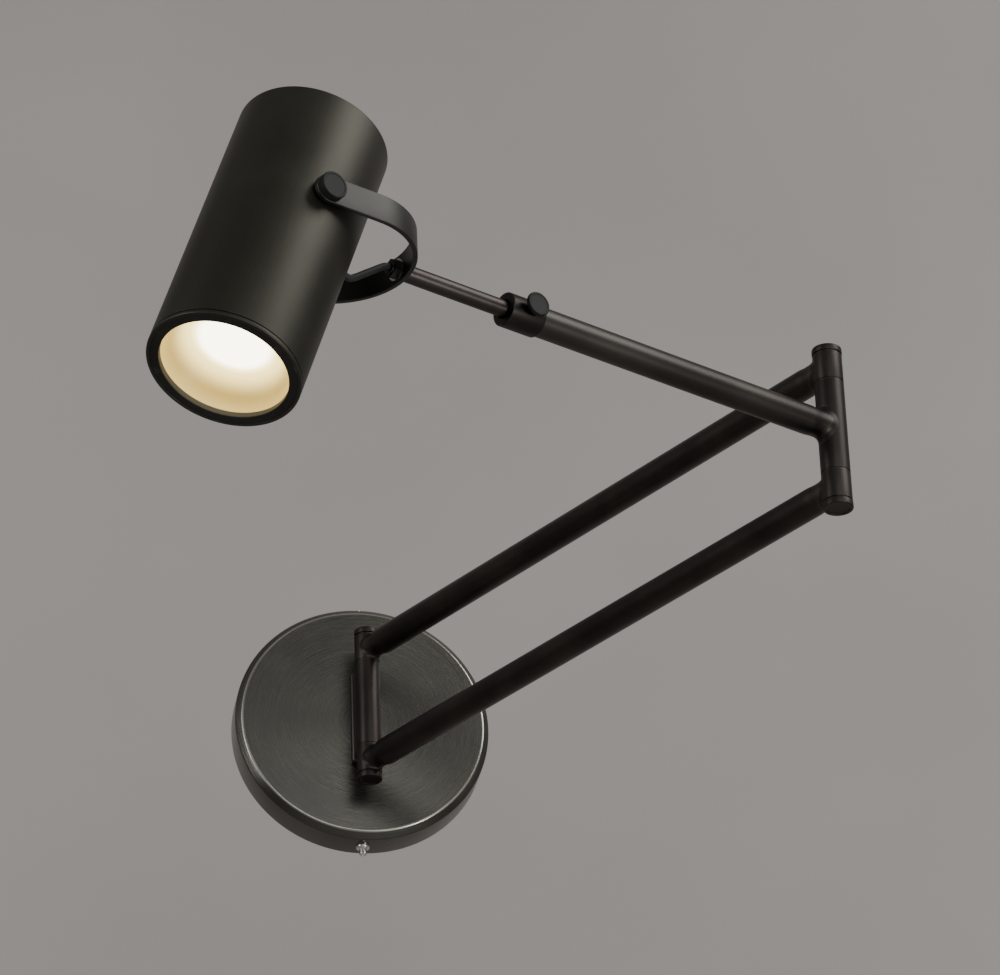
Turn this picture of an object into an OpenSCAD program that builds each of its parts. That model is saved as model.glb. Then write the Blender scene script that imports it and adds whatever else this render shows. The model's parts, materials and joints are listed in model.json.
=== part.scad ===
// Swing arm wall sconce: wall canopy, double parallel arm, single forearm,
// sliding rod, U-shaped yoke and a tilting cylinder shade.
// Origin: centre of the canopy's back, on the wall. +Z is up, the light reaches towards -Y.

/* [Canopy] */
// Diameter of the wall canopy
canopy_d = 120; // [100:1:160]
// Depth of the canopy, from the wall to its face
canopy_depth = 18; // [16:0.5:30]
// Size of the bevel round the canopy's face
canopy_bevel = 3; // [1:0.5:5]
// Thickness of the canopy's sheet
canopy_wall = 1.6; // [1:0.1:2.4]

/* [Mounting bar] */
// Length of the bar over its two ears
bar_length = 100; // [84:1:104]
// Width of the bar
bar_w = 18; // [14:1:24]
// Thickness of the bar's sheet
bar_t = 2; // [1.5:0.1:3]
// How far the ears stand out from the wall
ear_depth = 13; // [11:0.5:14]
// Distance between the centres of the two slots
slot_spacing = 76; // [70:1:80]
// Length of a slot, end to end
slot_length = 14; // [10:1:16]
// Width of a slot
slot_w = 4.8; // [4:0.1:5.5]
// Diameter of the set screws that hold the canopy on the bar
set_screw_d = 3.6; // [3:0.1:4.5]
// Distance of the set screws from the wall
set_screw_out = 8; // [7:0.5:9]
// How far the lower set screw's end stands out of the canopy
set_screw_proud = 4.6; // [3:0.1:7]
// How far the upper set screw's end stands out of the canopy
top_screw_proud = 3.2; // [2.6:0.1:7]

/* [Wall pivot] */
// Distance of the wall pivot's axis from the wall
pivot_out = 34.3; // [32:0.1:45]
// How much slimmer than a tube the wall pivot's barrel is
wall_barrel_less = 1.1; // [0:0.1:1.6]
// Width of the bracket's foot on the canopy
foot_w = 12; // [10:0.5:16]
// Height of the bracket's foot
foot_h = 46; // [36:1:60]
// Thickness of the bracket's foot
foot_t = 4; // [3:0.5:6]
// Diameter of the two screws that hold the bracket
bracket_screw_d = 4; // [3:0.5:5]
// Distance between the two bracket screws
bracket_screw_gap = 28; // [20:1:32]

/* [Arms] */
// Distance from the wall pivot's axis to the elbow's axis
arm_len = 318; // [220:1:420]
// Distance between the centre lines of the two parallel tubes
arm_spacing = 57.8; // [50:0.2:80]
// Outer diameter of the arm tubes and of the forearm tube
tube_d = 12.7; // [12:0.1:16]
// Wall of the tubes
tube_wall = 1.2; // [0.8:0.1:1.6]
// How much higher than a tube each end fitting is
fitting_over = 0.5; // [0.3:0.1:4]
// How much thicker than a tube the elbow's barrel is
elbow_barrel_more = 0; // [0:0.1:2]
// Height of the caps on the ends of both barrels
cap_h = 3.3; // [2.5:0.1:6]
// Diameter of the pins in both barrels
pin_d = 6; // [5:0.1:6.6]
// Outer diameter of the bushes that turn on the pins
bush_d = 8; // [7.8:0.1:8.6]
// Length of each bush inside its barrel
bush_len = 8; // [5:0.5:12]

/* [Forearm and rod] */
// Distance from the elbow's axis to the front of the collar
collar_front = 175; // [140:1:240]
// Length of the collar's visible head
collar_len = 16.7; // [12:0.1:24]
// How much thicker than the forearm tube the collar's head is
collar_over = 1.8; // [0.6:0.1:4]
// Diameter of the sliding rod
rod_d = 7.3; // [6.5:0.1:9]
// Distance from the elbow's axis to the shade's tilt axis
shade_reach = 285.5; // [255:0.5:340]
// How far the rod can be drawn out from the position shown
rod_out = 60; // [20:1:62]

/* [Yoke] */
// Distance from the tilt axis to the outside of the yoke's bend
yoke_depth = 59; // [58:0.5:75]
// Gap between the shade and each leg of the yoke
yoke_gap = 1.2; // [1:0.1:4]
// Width of the yoke's strap
strap_w = 12.2; // [10:0.1:14]
// Thickness of the yoke's strap
strap_t = 2; // [1.5:0.1:3]
// Diameter of the tilt knobs
tilt_knob_d = 11.8; // [8:0.2:14]
// Thickness of the tilt knobs
tilt_knob_t = 3.4; // [2.5:0.1:8]
// Diameter of the lock knob on the collar
lock_knob_d = 10.8; // [8:0.2:16]
// Thickness of the lock knob
lock_knob_t = 1.8; // [1.5:0.1:6]
// How far the lock knob stands off the collar
lock_knob_stand = 2.6; // [1:0.1:5]
// Diameter of the threaded shanks of all three knobs
knob_screw_d = 4; // [3:0.1:5]
// Diameter of the lead from the rod to the shade
lead_d = 3; // [2:0.1:3.4]

/* [Shade] */
// Outer diameter of the shade
shade_d = 62.2; // [50:0.2:76]
// Length of the shade behind the tilt axis
shade_back = 48.5; // [40:0.5:48.5]
// Length of the shade in front of the tilt axis
shade_front = 79.5; // [70:0.5:110]
// Wall of the shade
shade_wall = 1.5; // [1:0.1:2.5]
// Width of the dark rim round the opening, from the outside of the shade
bezel_rim = 5.1; // [4:0.1:6]
// Depth of the bezel's front ring, to the line round the shade
bezel_t = 2.2; // [1.5:0.1:4]
// Diameter of the lamp's lens
lens_d = 35; // [30:0.5:38]
// Depth of the lens behind the front of the shade
lens_depth = 16; // [12:0.5:30]
// Diameter of the lamp holder
holder_d = 18; // [14:0.5:22]
// Length of the lamp holder
holder_len = 24; // [16:1:30]

/* [Pose] */
// Angle of the double arm from straight out, towards +X
arm_yaw = 30; // [-60:1:60]
// Angle of the forearm from straight out, towards -X
forearm_yaw = 62.4; // [0:0.1:90]
// Angle of the shade's axis below the rod
shade_tilt = 69.7; // [60:0.1:110]

/* [Hidden] */
$fn = 64;
press_gap = 0.02;    // between pieces that are pressed or screwed together
running_gap = 0.05;  // radial, between a pin and what turns on it
face_gap = 0.05;     // between flat faces that turn on each other
hole_gap = 0.2;      // radial, round a screw that passes through a plate
cut = 1;             // how far a cutting shape runs past a face
flange_t = 0.5;      // flange of a bush, the dark line between two fittings
edge_bevel = 0.4;    // bevel on turned edges
pin_bore_r = 1.6;    // wire way down a pin
wire_r = 2.2;        // wire way through a fitting
spigot_len = 12;     // how far a fitting reaches into its tube

canopy_r = canopy_d / 2;
canopy_in_r = canopy_r - canopy_wall;
face_in = canopy_depth - canopy_wall;
set_r = set_screw_d / 2;
lock_nut_r = set_r + 1.4;
lock_nut_t = 2;
set_slot_w = 0.8;
set_slot_deep = 1.6;
set_screw_tail = 2;  // how far a set screw reaches past the ear it is screwed into
ear_out = bar_length / 2;

supply_r = 5.2;      // hole for the supply wires in the bar
ground_at = 17;      // from the centre to the ground screw and the terminal block
ground_r = 2;
ground_head_r = 3.8;
ground_head_t = 3;
block_size = [15, 15, 9];
block_hole_r = 1.7;
block_hole_gap = 4.6;
block_hole_deep = 2.5;

tube_r = tube_d / 2;
wall_r = (tube_d - wall_barrel_less) / 2;
elbow_r = (tube_d + elbow_barrel_more) / 2;
fitting_h = tube_d + fitting_over;
bore_r = tube_r - tube_wall;
arm_half = arm_spacing / 2;
mid_half = arm_half - fitting_h / 2 - flange_t - 2 * face_gap;
pin_r = pin_d / 2;
bush_r = bush_d / 2;
pin_seat = 2;        // how far a pin reaches into a cap
elbow_cap_proud = 0.15;
seat_gap = 0.1;      // between a barrel and the end of its tube
neck_less = 0.25;    // how much slimmer than its barrel a fitting's neck is
flange_less = 0.25;  // how far a bush's flange lies below the barrel

foot_front = canopy_depth + foot_t;
web_w = foot_w - 2;
bracket_screw_r = bracket_screw_d / 2;
bracket_bore_end = pivot_out - bush_r - 3;
bracket_head_r = bracket_screw_r + 1.8;
bracket_head_t = 2.4;
cross_w = 1;         // width and depth of the cross in a bracket screw's head
wire_bush_r = 4;
wire_bush_flange_r = 5.5;
wire_bush_flange_t = 1.2;

rod_r = rod_d / 2;
collar_r = (tube_d + collar_over) / 2;
collar_back = collar_front - collar_len;
lock_at = collar_front - 9.5;
lock_face = collar_r + lock_knob_stand;
knob_screw_r = knob_screw_d / 2;
stop_len = 5;
stop_front = collar_back - spigot_len - rod_out - 0.4;
rod_back = stop_front - stop_len;

shade_r = shade_d / 2;
yoke_r = shade_r + yoke_gap + strap_t;
yoke_bend_at = yoke_depth - yoke_r;
yoke_in = yoke_r - strap_t;
apex_in = yoke_depth - strap_t;
rod_end_r = rod_r - 0.75;
rod_bore_r = lead_d / 2 + 0.2;
washer_t = 0.5;
yoke_nut_t = 2.6;
yoke_nut_r = rod_end_r + 1.3;
washer_r = yoke_nut_r + 0.5;
rod_tip = apex_in - washer_t - yoke_nut_t - 0.8;

shade_in_r = shade_r - shade_wall;
bezel_back = shade_front - bezel_t;
bezel_spigot = 9;
bezel_wall = 1.2;
bezel_web = 0.6;     // how far the bezel's ring reaches behind the line round the shade
line_w = 0.5;        // the line round the shade, above its rim
line_deep = 0.4;
opening_r = shade_r - bezel_rim;
lens_at = shade_front - lens_depth;
lens_r = lens_d / 2;
lens_t = 2;
reflector_wall = 0.8;
lamp_base_at = lens_at - 20;
lamp_base_r = holder_d / 2 - 2;
holder_r = holder_d / 2;
holder_front = lamp_base_at + 4;
carrier_at = holder_front - 12;
carrier_t = 1.5;
carrier_rim = 8;
carrier_slot = [8, 6];
insert_r = knob_screw_r + 1.2;
insert_flange_r = 5;
insert_flange_t = 2;
insert_seat = sqrt(shade_in_r * shade_in_r - insert_flange_r * insert_flange_r) - face_gap;
back_cap_in = 1.2;
back_cap_t = 2;
back_cap_rim = 5;
vent = [12, 2.6];    // length and width of a slot in the back cap
vent_at = 9;
cap_screw_in = 5;    // from the shell's inner wall to a cap screw
cap_screw_r = 1.4;
cap_screw_head_r = 2.4;
cap_screw_head_t = 1;
cap_screw_slot = 0.7;
lead_r = lead_d / 2;
grommet_r = lead_r + 1.1;
grommet_flange_r = grommet_r + 1;

// Middle line of the lead, in the tilt axis's frame: out of the rod, down, into the shade
lead_in = [-sin(shade_tilt), 0, -cos(shade_tilt)];  // from the tilt axis out through the grommet
lead_out = [-rod_tip, 0, 0];                        // the rod's open end
lead_bend = lead_out + [3.5, 0, -1.2];
lead_drop = (shade_r + 5.6) * lead_in + [-1.6, 0, 2];
lead_route = [lead_out - [5, 0, 0], lead_out, lead_out + [1.9, 0, -0.3], lead_bend,
              (2 * lead_bend + lead_drop) / 3, (lead_bend + 2 * lead_drop) / 3, lead_drop,
              (shade_r + 4.5) * lead_in + [0, 0, 0.4], (shade_r + 1.9) * lead_in,
              (shade_r - 1.3) * lead_in, (shade_r - 5.5) * lead_in];

// ---- Places ----

// +Z of what it places points out of the wall
module out_of_wall() {
  rotate([90, 0, 0]) children();
}

// +X runs along the double arm, from the wall pivot
module at_wall_pivot() {
  translate([0, -pivot_out, 0]) rotate([0, 0, arm_yaw - 90]) children();
}

// +X runs on along the double arm, from the elbow
module at_elbow() {
  at_wall_pivot() translate([arm_len, 0, 0]) children();
}

// +X runs along the forearm, from the elbow; +Y is the side of the lock knob
module at_forearm() {
  at_elbow() rotate([0, 0, -arm_yaw - forearm_yaw]) children();
}

// The tilt axis is Y; +X runs on along the rod
module at_tilt_axis() {
  at_forearm() translate([shade_reach, 0, 0]) children();
}

// +Z runs along the shade's axis, towards its opening; +X faces the wall side and down
module at_shade() {
  at_tilt_axis() rotate([0, shade_tilt + 90, 0]) children();
}

// Side 1 is the upper or the near one, side -1 the lower or the far one
module flip_down(side) {
  rotate([side > 0 ? 0 : 180, 0, 0]) children();
}

// ---- General shapes ----

// A round bar along +X
module bar_x(r, from, to) {
  translate([from, 0, 0]) rotate([0, 90, 0]) cylinder(r = r, h = to - from);
}

// A round bar along +Y
module bar_y(r, from, to) {
  translate([0, from, 0]) rotate([-90, 0, 0]) cylinder(r = r, h = to - from);
}

// A turned disc on +Z with bevelled edges at both ends
module turned_disc(r, h, bevel) {
  rotate_extrude()
    polygon([[0, 0], [r - bevel, 0], [r, bevel], [r, h - bevel], [r - bevel, h], [0, h]]);
}

// A tube on +Z
module tube(r_out, r_in, h) {
  difference() {
    cylinder(r = r_out, h = h);
    translate([0, 0, -cut]) cylinder(r = r_in, h = h + 2 * cut);
  }
}

// ---- Wall mount ----

module canopy() {
  color([0.30, 0.30, 0.29]) out_of_wall() difference() {
    rotate_extrude($fn = 128)
      polygon([[0, canopy_depth], [canopy_r - canopy_bevel, canopy_depth],
               [canopy_r, canopy_depth - canopy_bevel], [canopy_r, 0], [canopy_in_r, 0],
               [canopy_in_r, face_in - canopy_bevel], [canopy_in_r - canopy_bevel, face_in],
               [0, face_in]]);
    translate([0, 0, face_in - cut]) cylinder(r = wire_bush_r, h = canopy_wall + 2 * cut);
    for (s = [-1, 1]) {
      translate([0, s * bracket_screw_gap / 2, face_in - cut])
        cylinder(r = bracket_screw_r + hole_gap, h = canopy_wall + 2 * cut);
      translate([0, s * canopy_in_r, set_screw_out]) rotate([90, 0, 0])
        cylinder(r = set_r + hole_gap, h = 4 * canopy_wall, center = true);
    }
  }
}

module mounting_bar() {
  color([0.62, 0.62, 0.60]) out_of_wall() difference() {
    union() {
      translate([-bar_w / 2, -ear_out, 0]) cube([bar_w, bar_length, bar_t]);
      for (s = [-1, 1])
        translate([-bar_w / 2, s > 0 ? ear_out - bar_t : -ear_out, 0])
          cube([bar_w, bar_t, ear_depth]);
    }
    translate([0, 0, -cut]) cylinder(r = supply_r, h = bar_t + 2 * cut);
    translate([0, -ground_at, -cut]) cylinder(r = ground_r + press_gap, h = bar_t + 2 * cut);
    for (s = [-1, 1]) {
      translate([0, s * slot_spacing / 2, -cut]) slot(slot_w / 2, slot_length, bar_t + 2 * cut);
      translate([0, s * (ear_out - bar_t / 2), set_screw_out]) rotate([90, 0, 0])
        cylinder(r = set_r + press_gap, h = 2 * bar_t, center = true);
    }
  }
}

// A slot along Y with round ends
module slot(r, length, h) {
  for (s = [-1, 1]) translate([0, s * (length / 2 - r), 0]) cylinder(r = r, h = h);
  translate([-r, r - length / 2, 0]) cube([2 * r, length - 2 * r, h]);
}

module ground_screw() {
  color([0.25, 0.45, 0.25]) out_of_wall() translate([0, -ground_at, 0]) difference() {
    union() {
      cylinder(r = ground_r, h = bar_t);
      translate([0, 0, bar_t]) cylinder(r = ground_head_r, h = ground_head_t, $fn = 6);
    }
    translate([-ground_head_r - cut, -cross_w / 2, bar_t + ground_head_t - cross_w])
      cube([2 * (ground_head_r + cut), cross_w, cross_w + cut]);
  }
}

module terminal_block() {
  color([0.85, 0.85, 0.82]) out_of_wall() translate([0, ground_at, bar_t]) difference() {
    translate([-block_size[0] / 2, -block_size[1] / 2, 0]) cube(block_size);
    for (x = [-1, 0, 1])
      translate([x * block_hole_gap, 0, block_size[2] - block_hole_deep])
        cylinder(r = block_hole_r, h = block_hole_deep + cut);
  }
}

// +Z runs out through the canopy's rim, up for side 1 and down for side -1
module through_rim(side) {
  translate([0, -set_screw_out, 0]) flip_down(side) children();
}

module canopy_screw(side) {
  inner_end = ear_out - bar_t - set_screw_tail;
  outer_end = canopy_r + (side > 0 ? top_screw_proud : set_screw_proud);
  color([0.80, 0.80, 0.78]) through_rim(side) difference() {
    translate([0, 0, inner_end]) turned_disc(set_r, outer_end - inner_end, 0.3);
    translate([-set_slot_w / 2, -set_r - cut, outer_end - set_slot_deep])
      cube([set_slot_w, 2 * set_r + 2 * cut, set_slot_deep + cut]);
  }
}

module canopy_nut(side) {
  color([0.80, 0.80, 0.78]) through_rim(side) translate([0, 0, canopy_r + face_gap])
    difference() {
      rotate_extrude()
        polygon([[0, 0], [lock_nut_r, 0], [lock_nut_r, lock_nut_t - 1.1],
                 [lock_nut_r - 0.5, lock_nut_t - 0.3], [lock_nut_r - 1.1, lock_nut_t],
                 [0, lock_nut_t]]);
      translate([0, 0, -cut]) cylinder(r = set_r + press_gap, h = lock_nut_t + 2 * cut);
    }
}

module wire_bush() {
  color([0.08, 0.08, 0.08]) out_of_wall() difference() {
    union() {
      translate([0, 0, face_in - wire_bush_flange_t])
        cylinder(r = wire_bush_flange_r, h = wire_bush_flange_t);
      translate([0, 0, face_in]) cylinder(r = wire_bush_r - press_gap, h = canopy_wall);
    }
    cylinder(r = wire_r, h = canopy_depth + cut);
  }
}

module pivot_bracket() {
  color([0.10, 0.10, 0.10]) difference() {
    union() {
      translate([0, -pivot_out, 0]) cylinder(r = wall_r, h = 2 * mid_half, center = true);
      translate([-web_w / 2, -pivot_out, -mid_half])
        cube([web_w, pivot_out - canopy_depth - cut, 2 * mid_half]);
      translate([-foot_w / 2, -foot_front, -foot_h / 2]) cube([foot_w, foot_t, foot_h]);
    }
    translate([0, -pivot_out, 0])
      cylinder(r = bush_r, h = 2 * mid_half + 2 * cut, center = true);
    out_of_wall() {
      translate([0, 0, canopy_depth - cut]) cylinder(r = wire_r, h = pivot_out - canopy_depth);
      for (s = [-1, 1]) translate([0, s * bracket_screw_gap / 2, canopy_depth - cut])
        cylinder(r = bracket_screw_r + press_gap, h = bracket_bore_end - canopy_depth + cut);
    }
  }
}

module bracket_screw(side) {
  color([0.55, 0.55, 0.53]) out_of_wall() translate([0, side * bracket_screw_gap / 2, 0])
    difference() {
      union() {
        translate([0, 0, face_in - bracket_head_t])
          cylinder(r = bracket_head_r, h = bracket_head_t);
        translate([0, 0, face_in])
          cylinder(r = bracket_screw_r, h = bracket_bore_end - face_in - 0.5);
      }
      for (a = [0, 90]) rotate([0, 0, a])
        translate([-bracket_screw_r, -cross_w / 2, face_in - bracket_head_t - cut])
          cube([2 * bracket_screw_r, cross_w, cross_w + cut]);
    }
}

// ---- Pins, bushes and caps of both barrels ----

// Flanged bush in one end of a middle barrel
module barrel_bush(barrel_r, side) {
  flip_down(side) translate([0, 0, mid_half]) difference() {
    union() {
      translate([0, 0, -bush_len]) cylinder(r = bush_r - press_gap, h = bush_len);
      translate([0, 0, face_gap]) cylinder(r = barrel_r - flange_less, h = flange_t);
      cylinder(r = bush_r - press_gap, h = 2 * face_gap);
    }
    translate([0, 0, -bush_len - cut])
      cylinder(r = pin_r + running_gap, h = bush_len + flange_t + 2 * cut);
  }
}

module barrel_pin() {
  half = arm_half + fitting_h / 2 + pin_seat;
  translate([0, 0, -half]) tube(pin_r, pin_bore_r, 2 * half);
}

// Cap on one end of a barrel, pressed on the pin
module barrel_cap(r, side) {
  flip_down(side) translate([0, 0, arm_half + fitting_h / 2]) difference() {
    rotate_extrude()
      polygon([[0, 0], [r - 0.5, 0], [r - 0.5, 0.4], [r, 0.4 + edge_bevel],
               [r, cap_h - edge_bevel], [r - edge_bevel, cap_h], [0, cap_h]]);
    translate([0, 0, -cut]) cylinder(r = pin_r + press_gap, h = pin_seat + cut);
  }
}

module wall_bush(side) {
  color([0.55, 0.47, 0.30]) at_wall_pivot() barrel_bush(wall_r, side);
}

module elbow_bush(side) {
  color([0.55, 0.47, 0.30]) at_elbow() barrel_bush(elbow_r, side);
}

module wall_pin() {
  color([0.55, 0.55, 0.53]) at_wall_pivot() barrel_pin();
}

module elbow_pin() {
  color([0.55, 0.55, 0.53]) at_elbow() barrel_pin();
}

module wall_cap(side) {
  color([0.10, 0.10, 0.10]) at_wall_pivot() barrel_cap(wall_r, side);
}

module elbow_cap(side) {
  color([0.10, 0.10, 0.10]) at_elbow() barrel_cap(elbow_r + elbow_cap_proud, side);
}

// ---- Double arm ----

// Barrel with a neck and a spigot along +X that goes into a tube
module socket_fitting(barrel_r, barrel_h, hole_r) {
  difference() {
    union() {
      cylinder(r = barrel_r, h = barrel_h, center = true);
      bar_x(barrel_r - neck_less, 0, barrel_r + seat_gap);
      bar_x(bore_r - press_gap, 0, barrel_r + seat_gap + spigot_len);
    }
    cylinder(r = hole_r, h = barrel_h + 2 * cut, center = true);
    bar_x(wire_r, 0, barrel_r + seat_gap + spigot_len + cut);
  }
}

module arm_fitting(barrel_r) {
  socket_fitting(barrel_r, fitting_h, pin_r + press_gap);
}

// One of the two parallel tubes, between the two barrels
module arm_tube(side) {
  from = wall_r + seat_gap;
  to = arm_len - elbow_r - seat_gap;
  color([0.09, 0.08, 0.08]) at_wall_pivot() translate([from, 0, side * arm_half])
    rotate([0, 90, 0]) tube(tube_r, bore_r, to - from);
}

module wall_fitting(side) {
  color([0.09, 0.08, 0.08]) at_wall_pivot() translate([0, 0, side * arm_half])
    arm_fitting(wall_r);
}

module elbow_fitting(side) {
  color([0.09, 0.08, 0.08]) at_elbow() translate([0, 0, side * arm_half]) rotate([0, 0, 180])
    arm_fitting(elbow_r);
}

// ---- Forearm ----

module elbow_knuckle() {
  color([0.11, 0.10, 0.10]) at_forearm() socket_fitting(elbow_r, 2 * mid_half, bush_r);
}

module forearm_tube() {
  from = elbow_r + seat_gap;
  color([0.11, 0.10, 0.10]) at_forearm() translate([from, 0, 0]) rotate([0, 90, 0])
    tube(tube_r, bore_r, collar_back - from);
}

module rod_collar() {
  color([0.12, 0.11, 0.11]) at_forearm() difference() {
    union() {
      translate([collar_back, 0, 0]) rotate([0, 90, 0])
        turned_disc(collar_r, collar_len, 2 * edge_bevel);
      bar_x(bore_r - press_gap, collar_back - spigot_len, collar_back + cut);
    }
    bar_x(rod_r + running_gap, collar_back - spigot_len - cut, collar_front + cut);
    translate([lock_at, 0, 0]) bar_y(knob_screw_r + running_gap, 0, collar_r + cut);
  }
}

module rod_lock_knob() {
  color([0.05, 0.05, 0.05]) at_forearm() translate([lock_at, 0, 0]) {
    bar_y(knob_screw_r, rod_r + 2 * face_gap, lock_face);
    translate([0, lock_face, 0]) rotate([-90, 0, 0])
      turned_disc(lock_knob_d / 2, lock_knob_t, 0.3);
  }
}

// ---- Rod ----

module slide_rod() {
  apex = shade_reach - yoke_depth;
  color([0.20, 0.18, 0.17]) at_forearm() difference() {
    union() {
      bar_x(rod_r, rod_back, apex - face_gap);
      bar_x(rod_end_r, apex - cut, shade_reach - rod_tip);
    }
    bar_x(rod_bore_r, rod_back - cut, shade_reach - rod_tip + cut);
  }
}

module rod_stop() {
  color([0.80, 0.78, 0.72]) at_forearm() translate([rod_back, 0, 0]) rotate([0, 90, 0])
    tube(bore_r - 0.08, rod_r + press_gap, stop_len);
}

module yoke_washer() {
  color([0.75, 0.73, 0.68]) at_tilt_axis() translate([-apex_in + face_gap, 0, 0])
    rotate([0, 90, 0]) tube(washer_r, rod_end_r + press_gap, washer_t - face_gap);
}

module yoke_nut() {
  color([0.10, 0.10, 0.10]) at_tilt_axis() translate([washer_t - apex_in, 0, 0])
    rotate([0, 90, 0]) difference() {
      cylinder(r = yoke_nut_r, h = yoke_nut_t, $fn = 6);
      translate([0, 0, -cut]) cylinder(r = rod_end_r + press_gap, h = yoke_nut_t + 2 * cut);
    }
}

// ---- Yoke ----

// Outline of the U, with its bend towards -X
module yoke_outline(r, leg_end) {
  translate([-yoke_bend_at, 0]) circle(r = r, $fn = 128);
  translate([-yoke_bend_at, -r]) square([yoke_bend_at + leg_end, 2 * r]);
}

module yoke_strap() {
  end_r = strap_w / 2;
  color([0.22, 0.22, 0.21]) at_tilt_axis() difference() {
    intersection() {
      translate([0, 0, -end_r]) linear_extrude(strap_w) difference() {
        yoke_outline(yoke_r, end_r);
        yoke_outline(yoke_in, end_r + cut);
      }
      union() {
        translate([-yoke_depth - cut, -yoke_r - cut, -end_r])
          cube([yoke_depth + cut, 2 * (yoke_r + cut), strap_w]);
        bar_y(end_r, -yoke_r - cut, yoke_r + cut);
      }
    }
    bar_y(knob_screw_r + running_gap, -yoke_r - cut, yoke_r + cut);
    bar_x(rod_end_r + running_gap, -yoke_depth - cut, -apex_in + cut);
    bar_x(washer_r + hole_gap, -apex_in, -apex_in + 2 * cut);
  }
}

module tilt_washer(side) {
  thick = yoke_in - shade_r - 2 * face_gap;
  color([0.05, 0.05, 0.05]) at_tilt_axis() rotate([-90 * side, 0, 0])
    translate([0, 0, shade_r + face_gap])
      tube(knob_screw_r + 2.4, knob_screw_r + running_gap, thick);
}

function unit(v) = v / norm(v);

// Direction of the lead's route at its point i
function lead_way(i) =
  unit(lead_route[min(i + 1, len(lead_route) - 1)] - lead_route[max(i - 1, 0)]);

// Ring of n points round the route's point i
function lead_ring(i, n) =
  let (up = cross(lead_way(i), [0, 1, 0]))
  [for (k = [0:n - 1])
    lead_route[i] + lead_r * (cos(360 * k / n) * [0, 1, 0] + sin(360 * k / n) * up)];

module lamp_lead() {
  sides = 8;
  last = len(lead_route) - 1;
  points = [for (i = [0:last]) each lead_ring(i, sides)];
  faces = concat(
    [[for (k = [0:sides - 1]) k]],
    [for (i = [0:last - 1], k = [0:sides - 1])
      [i * sides + k, (i + 1) * sides + k, (i + 1) * sides + (k + 1) % sides,
       i * sides + (k + 1) % sides]],
    [[for (k = [sides - 1:-1:0]) last * sides + k]]);
  color([0.04, 0.04, 0.04]) at_tilt_axis() polyhedron(points, faces, convexity = 4);
}

// ---- Shade ----

module shade_shell() {
  color([0.20, 0.20, 0.17]) at_shade() difference() {
    rotate_extrude($fn = 128)
      polygon([[shade_in_r, -shade_back], [shade_r - 2 * edge_bevel, -shade_back],
               [shade_r, -shade_back + 2 * edge_bevel], [shade_r, bezel_back],
               [shade_r - line_deep, bezel_back], [shade_r - line_deep, bezel_back + line_w],
               [shade_r, bezel_back + line_w], [shade_r, shade_front - edge_bevel],
               [shade_r - edge_bevel, shade_front], [shade_in_r, shade_front]]);
    for (s = [-90, 90]) rotate([s, 0, 0]) translate([0, 0, shade_in_r - 2])
      cylinder(r = insert_r + press_gap, h = shade_wall + 4);
    bar_x(grommet_r, shade_in_r - 2, shade_r + 2);
  }
}

module front_bezel() {
  color([0.04, 0.04, 0.04]) at_shade() rotate_extrude($fn = 128)
    polygon([[opening_r, bezel_back - bezel_web], [opening_r, shade_front - edge_bevel],
             [opening_r + edge_bevel, shade_front], [shade_in_r - press_gap, shade_front],
             [shade_in_r - press_gap, bezel_back - bezel_spigot],
             [shade_in_r - bezel_wall, bezel_back - bezel_spigot],
             [shade_in_r - bezel_wall, bezel_back - bezel_web]]);
}

module reflector() {
  lip = bezel_back - bezel_web - face_gap;
  lip_r = shade_in_r - bezel_wall - running_gap;
  color([0.93, 0.86, 0.66]) at_shade() rotate_extrude($fn = 128)
    polygon([[lens_r + 0.2, lens_at], [opening_r, lip], [lip_r, lip],
             [lip_r, lip - 1], [opening_r + reflector_wall, lip - 1],
             [lens_r + 0.2 + reflector_wall, lens_at - 0.6], [lens_r + 0.2, lens_at - 0.6]]);
}

module lamp_lens() {
  color([1.0, 0.95, 0.82]) at_shade() translate([0, 0, lens_at - lens_t]) rotate_extrude()
    polygon([[0, 0], [lens_r, 0], [lens_r, lens_t - 0.8], [lens_r - 1, lens_t - 0.1],
             [lens_r / 2, lens_t + 0.5], [0, lens_t + 0.7]]);
}

module lamp_body() {
  color([0.78, 0.78, 0.76]) at_shade() rotate_extrude()
    polygon([[0, lamp_base_at], [lamp_base_r, lamp_base_at], [lamp_base_r, holder_front],
             [lamp_base_r + 2, holder_front + 2], [lens_r - 1.5, lens_at - lens_t - 3],
             [lens_r, lens_at - lens_t - 1.5], [lens_r, lens_at - lens_t - press_gap],
             [0, lens_at - lens_t - press_gap]]);
}

module lamp_holder() {
  color([0.90, 0.89, 0.85]) at_shade() difference() {
    translate([0, 0, holder_front - holder_len])
      turned_disc(holder_r, holder_len - face_gap, 0.8);
    translate([0, 0, lamp_base_at - face_gap])
      cylinder(r = lamp_base_r + press_gap, h = holder_front - lamp_base_at + 1);
  }
}

// Cup that holds the lamp holder and slides into the shade
module lamp_carrier() {
  color([0.60, 0.60, 0.58]) at_shade() translate([0, 0, carrier_at]) difference() {
    cylinder(r = shade_in_r - press_gap, h = carrier_rim);
    translate([0, 0, carrier_t]) cylinder(r = shade_in_r - bezel_wall, h = carrier_rim);
    translate([0, 0, -cut]) cylinder(r = holder_r + press_gap, h = carrier_t + 2 * cut);
    for (a = [45:90:315]) rotate([0, 0, a])
      translate([holder_r + 4, -carrier_slot[1] / 2, -cut])
        cube([carrier_slot[0], carrier_slot[1], carrier_t + 2 * cut]);
  }
}

function cap_screw_turn(n) = 120 * n - 97.5;

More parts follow.
